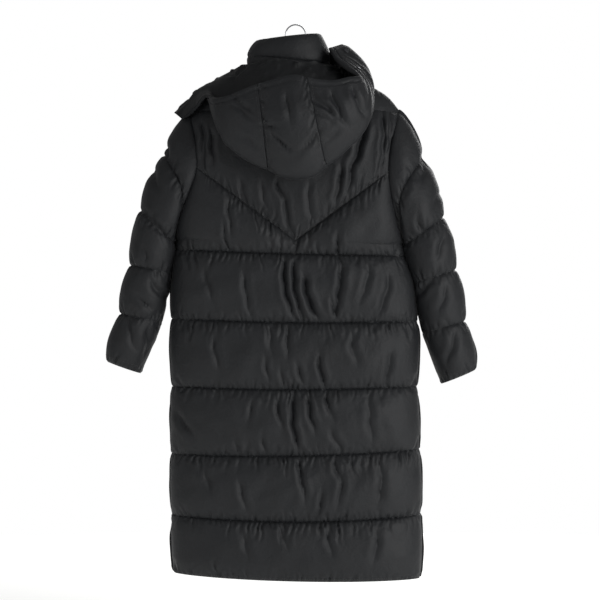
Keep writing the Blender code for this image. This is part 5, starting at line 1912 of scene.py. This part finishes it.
    def surface(self) -> tuple[Array, Array]:
        """The face between shell and lining, on fine rows and columns, with normals.

        Returns:
            The points and a normal for each.
        """
        table, places = np.array(HOOD), np.arange(len(HOOD), dtype=float)
        steps = np.linspace(0, len(HOOD) - 1, (len(HOOD) - 1) * self.substeps + 1)
        stations = np.stack([smooth_value(steps, places, table[:, k]) for k in range(9)],
                            axis=1)
        coarse = np.stack([self.loop(station) for station in stations], axis=1)
        grid = refined(coarse, self.fine_rows, (coarse.shape[1] - 1) * self.fine_columns + 1)
        normals = grid_normals(grid, np.zeros(3))
        if normals[-2, grid.shape[1] // 2, 1] > 0:
            normals = -normals
        ends = self.fine_columns // 2
        normals[:, :ends], normals[:, -ends:] = normals[:, ends:ends + 1], normals[
            :, -ends - 1:-ends]
        return self.seamed(grid), self.seamed(normals)

    def edges(self, columns: int) -> tuple[int, int, int, int]:
        """The columns where the panels begin and end.

        Args:
            columns: How many columns the grid has.

        Returns:
            Four column numbers.
        """
        scale = (columns - 1) / (len(HOOD) - 1)
        return (0, round(self.seam_left[1] * scale), round(self.seam_right[1] * scale),
                columns - 1)

    def seamed(self, grid: Array) -> Array:
        """Shift the columns of each row, so that the panel edges follow the seams.

        Args:
            grid: The values, by row and column.

        Returns:
            The shifted values.
        """
        columns = grid.shape[1]
        scale = (columns - 1) / (len(HOOD) - 1)
        edges, places = self.edges(columns), np.arange(columns, dtype=float)
        shares = np.linspace(0, 1, len(grid))
        lines = [np.interp(shares, (0, 0.5, 1), seam) * scale
                 for seam in (self.seam_left, self.seam_right)]
        moved = np.empty_like(grid)
        for row in range(len(grid)):
            at = np.interp(places, edges, (0, lines[0][row], lines[1][row], columns - 1))
            for k in range(3):
                moved[row, :, k] = np.interp(at, places, grid[row, :, k])
        return moved

    def build(self, nylon: bpy.types.Material, satin: bpy.types.Material,
              nickel: bpy.types.Material, stitching: Stitching) -> None:
        """Make and dress the panels and the lining, sew the seams and set the studs.

        Args:
            nylon: The shell's finish.
            satin: The lining's finish.
            nickel: The studs' finish.
            stitching: Where its stitches go.
        """
        grid, normals = self.surface()
        edges = self.edges(grid.shape[1])
        rows = np.linspace(0, 1, len(grid))
        rise = channel_swell(rows) * np.clip(self.rise * rows - self.rise_start, 0, 1)
        down, along = grid_runs(grid, 0), grid_runs(grid, 1)
        from_rim = down[-1:] - down
        outer = np.clip((rows - self.outer_start) / self.outer_fade, 0, 1)[:, None]
        to_end = np.minimum(along, along[:, -1:] - along)
        taper = np.sqrt(np.clip(to_end / self.end_taper, self.least_taper, 1))
        for number, (name, start, end) in enumerate(zip(
                ("hood_left", "hood_centre", "hood_right"), edges[:-1], edges[1:])):
            part = grid[:, start:end + 1].copy()
            if start > 0:
                part[:, 0] += unit(grid[:, start + 1] - grid[:, start - 1]) * self.panel_gap
            if end < grid.shape[1] - 1:
                part[:, -1] -= unit(grid[:, end + 1] - grid[:, end - 1]) * self.panel_gap
            across = np.linspace(0, 1, end - start + 1)
            bulge = np.clip(4 * across * (1 - across), 0, 1) ** 0.7
            swell = self.puff * np.outer(rise, bulge)
            place = along[:, start:end + 1]
            rim = from_rim[:, start:end + 1]
            drop = down[:, start:end + 1]
            sides = place - place[:, :1], place[:, -1:] - place
            rng = np.random.default_rng(self.seed + number)
            pressed = sum(self.seam_gathers.pressed(drop.T, side.T, rng).T
                          for side in sides)
            pressed = pressed + self.rim_gathers.pressed(place, rim, rng)
            pressed = pressed + self.crease_share * crease_depth(
                part[..., 0], part[..., 2], HOOD_CREASES) * outer
            groove = self.groove * np.exp(-((rim - self.casing) / self.groove_width) ** 2)
            filled = self.casing_roll(rim)
            uneven = 1 + self.lump_share * lumps(place, drop, self.lump_size, rng)
            ends = np.clip((place[:, :1] + place) / self.left_calm - 0.25 if start == 0
                           else (along[:, -1:] - place) / self.right_calm,
                           self.least_pressed, 1)
            pressed = pressed * (1 if number == 1 else ends)
            limit = self.pressed_limit * swell + self.pressed_spare
            outward = (self.wall + np.maximum(swell * uneven, filled)
                       - np.minimum(pressed, limit) - groove) * taper[:, start:end + 1]
            wall = ClothWall(name + "_cloth", part, normals[:, start:end + 1], outward,
                             0.0, self.inner_every)
            dress(wall.build(nylon), [name])
            for stud in STUDS if name == "hood_right" else ():
                stud.build(wall, nickel)
            casing_row = int(np.abs(rim.mean(axis=1) - self.casing).argmin())
            stitching.sew(*wall.line(casing_row))
            for column, sewn in ((self.seam_column, start > 0),
                                 (-1 - self.seam_column, end < edges[-1])):
                if sewn:
                    stitching.sew(*wall.line((slice(None), column)))
        inner = grid - normals * self.form.seam_gap
        rng = np.random.default_rng(self.lining_seed)
        bumps = np.clip(lumps(along, down, self.bump_size, rng), 0, 1) * np.clip(
            1 - rows[:, None] / self.bump_reach, 0, 1)
        uneven = 1 + self.slack_share * lumps(along, down, self.slack_size, rng)
        slack = (self.lining * uneven + self.bump * bumps) * taper
        lining = ClothWall("hood_lining_cloth", inner, -normals, slack, 0.0,
                           self.inner_every)
        dress(lining.build(satin), ["hood_lining"])

    def casing_roll(self, rim: Array) -> Array:
        """The elastic's small roll between the rim and the casing's stitching."""
        t = np.clip(rim / self.casing, 0, 1)
        return self.roll * channel_swell(t)


# ---- zips and hanger
@dataclass(frozen=True)
class ZipTeeth:
    """A row of moulded teeth, each half's between the other's."""
    pitch: float = 0.0026
    length: float = 0.0034
    width: float = 0.0013
    height: float = 0.0016
    rib_height: float = 0.0030
    overlap: float = 0.28
    sunk: float = 0.0002
    look_ahead: float = 0.001
    bevel: float = 0.0003

    def tooth(self) -> tuple[Array, list]:
        """One tooth's points and faces: a block with softened corners.

        Returns:
            The points and the faces.
        """
        bpy.ops.object.select_all(action="DESELECT")
        bpy.ops.mesh.primitive_cube_add(size=1.0)
        block = bpy.context.active_object
        block.scale = (self.length, self.width, self.height)
        bpy.ops.object.transform_apply(scale=True)
        bpy.ops.object.mode_set(mode="EDIT")
        bpy.ops.mesh.select_all(action="SELECT")
        bpy.ops.mesh.bevel(offset=self.bevel, segments=1, affect="EDGES")
        bpy.ops.object.mode_set(mode="OBJECT")
        points = np.array([vertex.co for vertex in block.data.vertices])
        faces = [tuple(face.vertices) for face in block.data.polygons]
        bpy.data.objects.remove(block, do_unlink=True)
        return points, faces

    def row(self, name: str, path: Array, across: Array, outs: Array,
            apart: Callable[[float], float], material: bpy.types.Material
            ) -> bpy.types.Object:
        """Both halves' teeth along a path.

        Args:
            name: The piece's name.
            path: The zip's middle line.
            across: The direction across the zip.
            outs: The direction out of the cloth at each point of the path.
            apart: Half the gap between the halves at a height.
            material: The teeth's finish.

        Returns:
            The joined teeth.
        """
        points, faces = self.tooth()
        run = run_along(path)
        blocks, all_faces = [], []
        for number, place in enumerate(np.arange(self.pitch, run[-1], self.pitch / 2)):
            centre = read_along(np.array(place), run, path)
            ahead = read_along(np.array(place + self.look_ahead), run, path)
            out = unit(read_along(np.array(place), run, outs))
            forward = unit(ahead - centre) if place + self.look_ahead < run[-1] else forward
            sign = 1 if number % 2 else -1
            shift = apart(float(centre[2])) + self.length * self.overlap
            middle = (centre + across * sign * shift
                      + out * (self.rib_height + self.height / 2 - self.sunk))
            blocks.append(middle + points @ np.array([across, forward, out]))
            base = len(points) * number
            all_faces += [tuple(base + k for k in face) for face in faces]
        mesh = closed_mesh(name, np.concatenate(blocks), all_faces)
        return linked(name, mesh, material)


@dataclass(frozen=True)
class Zips:
    """The front zip's and the side zips' teeth, over the tapes' ribs."""
    form: CoatForm
    lining_in: float = 0.0025
    tape_drop: float = 0.0012
    front_ends: tuple[float, float] = (0.006, 0.005)
    side_ends: float = 0.012

    def outs(self, path: Array, across: Array, outward: Array) -> Array:
        """Directions that stand out from a path, square to it."""
        outs = unit(np.cross(np.gradient(path, axis=0), across))
        return outs * np.sign(outs @ outward)[:, None]

    def build(self, collar_grid: Array, teeth: bpy.types.Material) -> None:
        """Lay the teeth of all three zips.

        Args:
            collar_grid: The collar's base points.
            teeth: The teeth's finish.
        """
        across, outward = np.array([1.0, 0, 0]), np.array([0, 1.0, 0])
        middle = np.zeros(1)
        upper = self.form.shoulder_grid(middle, np.linspace(0, 1, 24), 1)[:, 0]
        lower = [self.form.channel_grid(middle, channel, np.linspace(0, 1, 6), 1)[1:, 0]
                 for channel in range(len(BODY_STITCHES))]
        front = np.concatenate([upper, *lower])[::-1]
        front[:, 0] = 0.0
        front[0, 2] += self.front_ends[0]
        half = (len(collar_grid) - 1) // 2
        collar = ((collar_grid[:, 0] + collar_grid[:, -1]) / 2)[[half, 2 * half]]
        collar[-1, 2] -= self.front_ends[1]
        path = np.concatenate([front, collar])
        outs = self.outs(path, across, outward)
        path = path - outs * (self.lining_in + self.tape_drop)
        row = ZipTeeth().row("front_zip_teeth", path, across, outs, lambda z: 0.0, teeth)
        dress(row, [])
        for side in Side:
            self.side_teeth(side, teeth)

    def side_teeth(self, side: Side, teeth: bpy.types.Material) -> None:
        """Lay one side zip's teeth: closed over the slider, apart below it.

        Args:
            side: Which side.
            teeth: The teeth's finish.
        """
        share, sign = np.array([float(side.value)]), side.value
        edge = np.concatenate([self.form.channel_grid(share, channel, np.linspace(0, 1, 9),
                                                      1)[:, 0] for channel in (3, 4, 5)])
        edge = edge[edge[:, 2] < self.form.side_zip_top - self.side_ends]
        edge = edge[edge[:, 2] > BODY_STITCHES[-1].left + self.side_ends]
        edge[:, 0] -= sign * (self.lining_in + self.tape_drop)
        edge[:, 1] = 0.0
        outs = np.repeat(np.array([[float(sign), 0, 0]]), len(edge), axis=0)

        def apart(z: float) -> float:
            """Half the gap between the zip's halves at a height."""
            return float(self.form.seam_offset(np.array(z))) - self.form.zip_half_gap

        name = f"side_{side.name.lower()}_zip_teeth"
        row = ZipTeeth().row(name, edge, np.array([0, 1.0, 0]), outs, apart, teeth)
        dress(row, [])


@dataclass(frozen=True)
class Hook:
    """The hanger's wire hook: an arc open at one side, and its stem."""
    radius: float = 0.0239
    wire: float = 0.0015
    start_degrees: float = -30.0
    turn_degrees: float = 252.0
    steps: int = 60

    def build(self, steel: bpy.types.Material, foot_z: float) -> None:
        """Make the bent wire, capped at its ends, and dress it.

        Args:
            steel: The wire's finish.
            foot_z: The height at which the stem ends.
        """
        centre_z = -self.wire - self.radius
        angles = np.radians(self.start_degrees
                            + np.linspace(0, self.turn_degrees, self.steps))
        points = [(self.radius * math.cos(a), 0.0, centre_z + self.radius * math.sin(a))
                  for a in angles]
        end_x, _, end_z = points[-1]
        knots = np.array([[0, end_x, end_z], [1, end_x * 0.35, end_z - 0.008],
                          [2, 0.0, end_z - 0.016], [3, 0.0, foot_z]])
        for t in np.linspace(0, 3, 25)[1:]:
            points.append((float(np.interp(t, knots[:, 0], knots[:, 1])), 0.0,
                           float(np.interp(t, knots[:, 0], knots[:, 2]))))
        curve = bpy.data.curves.new("hook_wire", "CURVE")
        curve.dimensions, curve.bevel_depth, curve.bevel_resolution = "3D", self.wire, 6
        curve.use_fill_caps = True
        line = curve.splines.new("POLY")
        line.points.add(len(points) - 1)
        for target, point in zip(line.points, points):
            target.co = (*point, 1.0)
        piece = bpy.data.objects.new("hook_wire", curve)
        bpy.context.scene.collection.objects.link(piece)
        only_active(piece)
        bpy.ops.object.convert(target="MESH")
        piece = bpy.context.active_object
        piece.data.materials.clear()
        piece.data.materials.append(steel)
        bpy.ops.object.shade_smooth_by_angle(angle=math.radians(40))
        dress(piece, ["hanger_hook"])


# ---- studio
class Lamp(NamedTuple):
    """A disc lamp: its name, its place, its width in metres and its power in watts."""
    name: str
    place: tuple[float, float, float]
    width: float
    power: float


LAMPS = (Lamp("key_lamp", (3.4, -2.9, 0.0), 2.6, 112.0),
         Lamp("fill_lamp", (-3.2, -3.0, 0.5), 2.8, 20.0),
         Lamp("front_lamp", (1.2, 3.6, 0.9), 2.6, 90.0))


@dataclass(frozen=True)
class Studio:
    """A pale floor, soft lamps and the camera behind the coat."""
    middle: tuple[float, float, float] = (0.0106, -0.06, -0.6566)
    distance: float = 7.0
    frame_width: float = 1.416
    sensor: float = 36.0
    floor_z: float = -1.46
    floor_radius: float = 3.2
    air: float = 0.24

    def lamp(self, lamp: Lamp) -> None:
        """A large soft lamp aimed at the coat.

        Args:
            lamp: Its name, place, width and power.
        """
        light = bpy.data.lights.new(lamp.name, "AREA")
        light.shape, light.size, light.energy = "DISK", lamp.width, lamp.power
        placed = bpy.data.objects.new(lamp.name, light)
        placed.location = lamp.place
        aim = Vector(self.middle) - Vector(lamp.place)
        placed.rotation_euler = aim.to_track_quat("-Z", "Y").to_euler()
        bpy.context.scene.collection.objects.link(placed)

    def build(self) -> None:
        """Set up the floor, the air, the lamps and the camera."""
        scene = bpy.context.scene
        world = bpy.data.worlds.new("pale_room")
        scene.world = world
        world.use_nodes = True
        tree = world.node_tree
        back = tree.nodes["Background"]
        back.inputs["Color"].default_value = (1, 1, 1, 1)
        seen = add_node(tree, "ShaderNodeLightPath", {}, {}).outputs["Is Camera Ray"]
        strength = add_node(tree, "ShaderNodeMapRange",
                            {"To Min": self.air, "To Max": 1.0}, {"Value": seen})
        tree.links.new(strength.outputs[0], back.inputs["Strength"])
        for lamp in LAMPS:
            self.lamp(lamp)
        bpy.ops.object.select_all(action="DESELECT")
        bpy.ops.mesh.primitive_circle_add(vertices=128, radius=self.floor_radius,
                                          fill_type="NGON", location=(0, 0, self.floor_z))
        floor = bpy.context.active_object
        floor.name = "floor"
        floor.data.materials.append(PAPER.material())
        camera_data = bpy.data.cameras.new("camera")
        camera_data.sensor_width = self.sensor
        camera_data.lens = self.sensor * self.distance / self.frame_width
        camera = bpy.data.objects.new("camera", camera_data)
        camera.location = (self.middle[0], self.middle[1] - self.distance, self.middle[2])
        camera.rotation_euler = (math.radians(90), 0, 0)
        scene.collection.objects.link(camera)
        scene.camera = camera
        scene.view_settings.view_transform = "Standard"


# ---- assembly
SOLID_FINISHES = {
    "zip_tape": TAPE,
    "dark_nickel": NICKEL,
    "bright_steel": STEEL,
    "black_plastic": PLASTIC,
}


def repaint_solids(frame: dict, made: dict[str, bpy.types.Material]) -> None:
    """Give the solids that stay their finishes, by their material slots.

    Args:
        frame: The loaded frame.
        made: The finished materials, by slot.
    """
    for row in frame["record"]["subparts"]:
        slot = row["material_slot"]
        if slot in made:
            node = frame["nodes"][row["node"]]
            node.data.materials.clear()
            node.data.materials.append(made[slot])
            log.info("%s: solid kept, finish %s", row["node"], made[slot].name)


def main() -> None:
    """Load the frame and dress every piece."""
    logging.basicConfig(level=logging.INFO, format="%(message)s")
    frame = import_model()
    form, padding = CoatForm(), Padding()
    nylon, satin = NYLON.material(), LINING.material()
    stitching = Stitching(THREAD.material())
    made = {slot: finish.material() for slot, finish in SOLID_FINISHES.items()}
    repaint_solids(frame, made)
    BodyPieces(form, padding).build(nylon, stitching)
    for side in Side:
        Sleeve(form, padding, side).build(nylon, stitching)
    collar_grid = Collar(form, padding).build(nylon, stitching)
    Hood(form, padding).build(nylon, satin, made["dark_nickel"], stitching)
    dress(stitching.build("topstitching"), [])
    Zips(form).build(collar_grid, ACETAL.material())
    Hook().build(made["bright_steel"], float(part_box("hanger_arms")[1][2]) - 0.004)
    Studio().build()


if __name__ == "__main__":
    main()
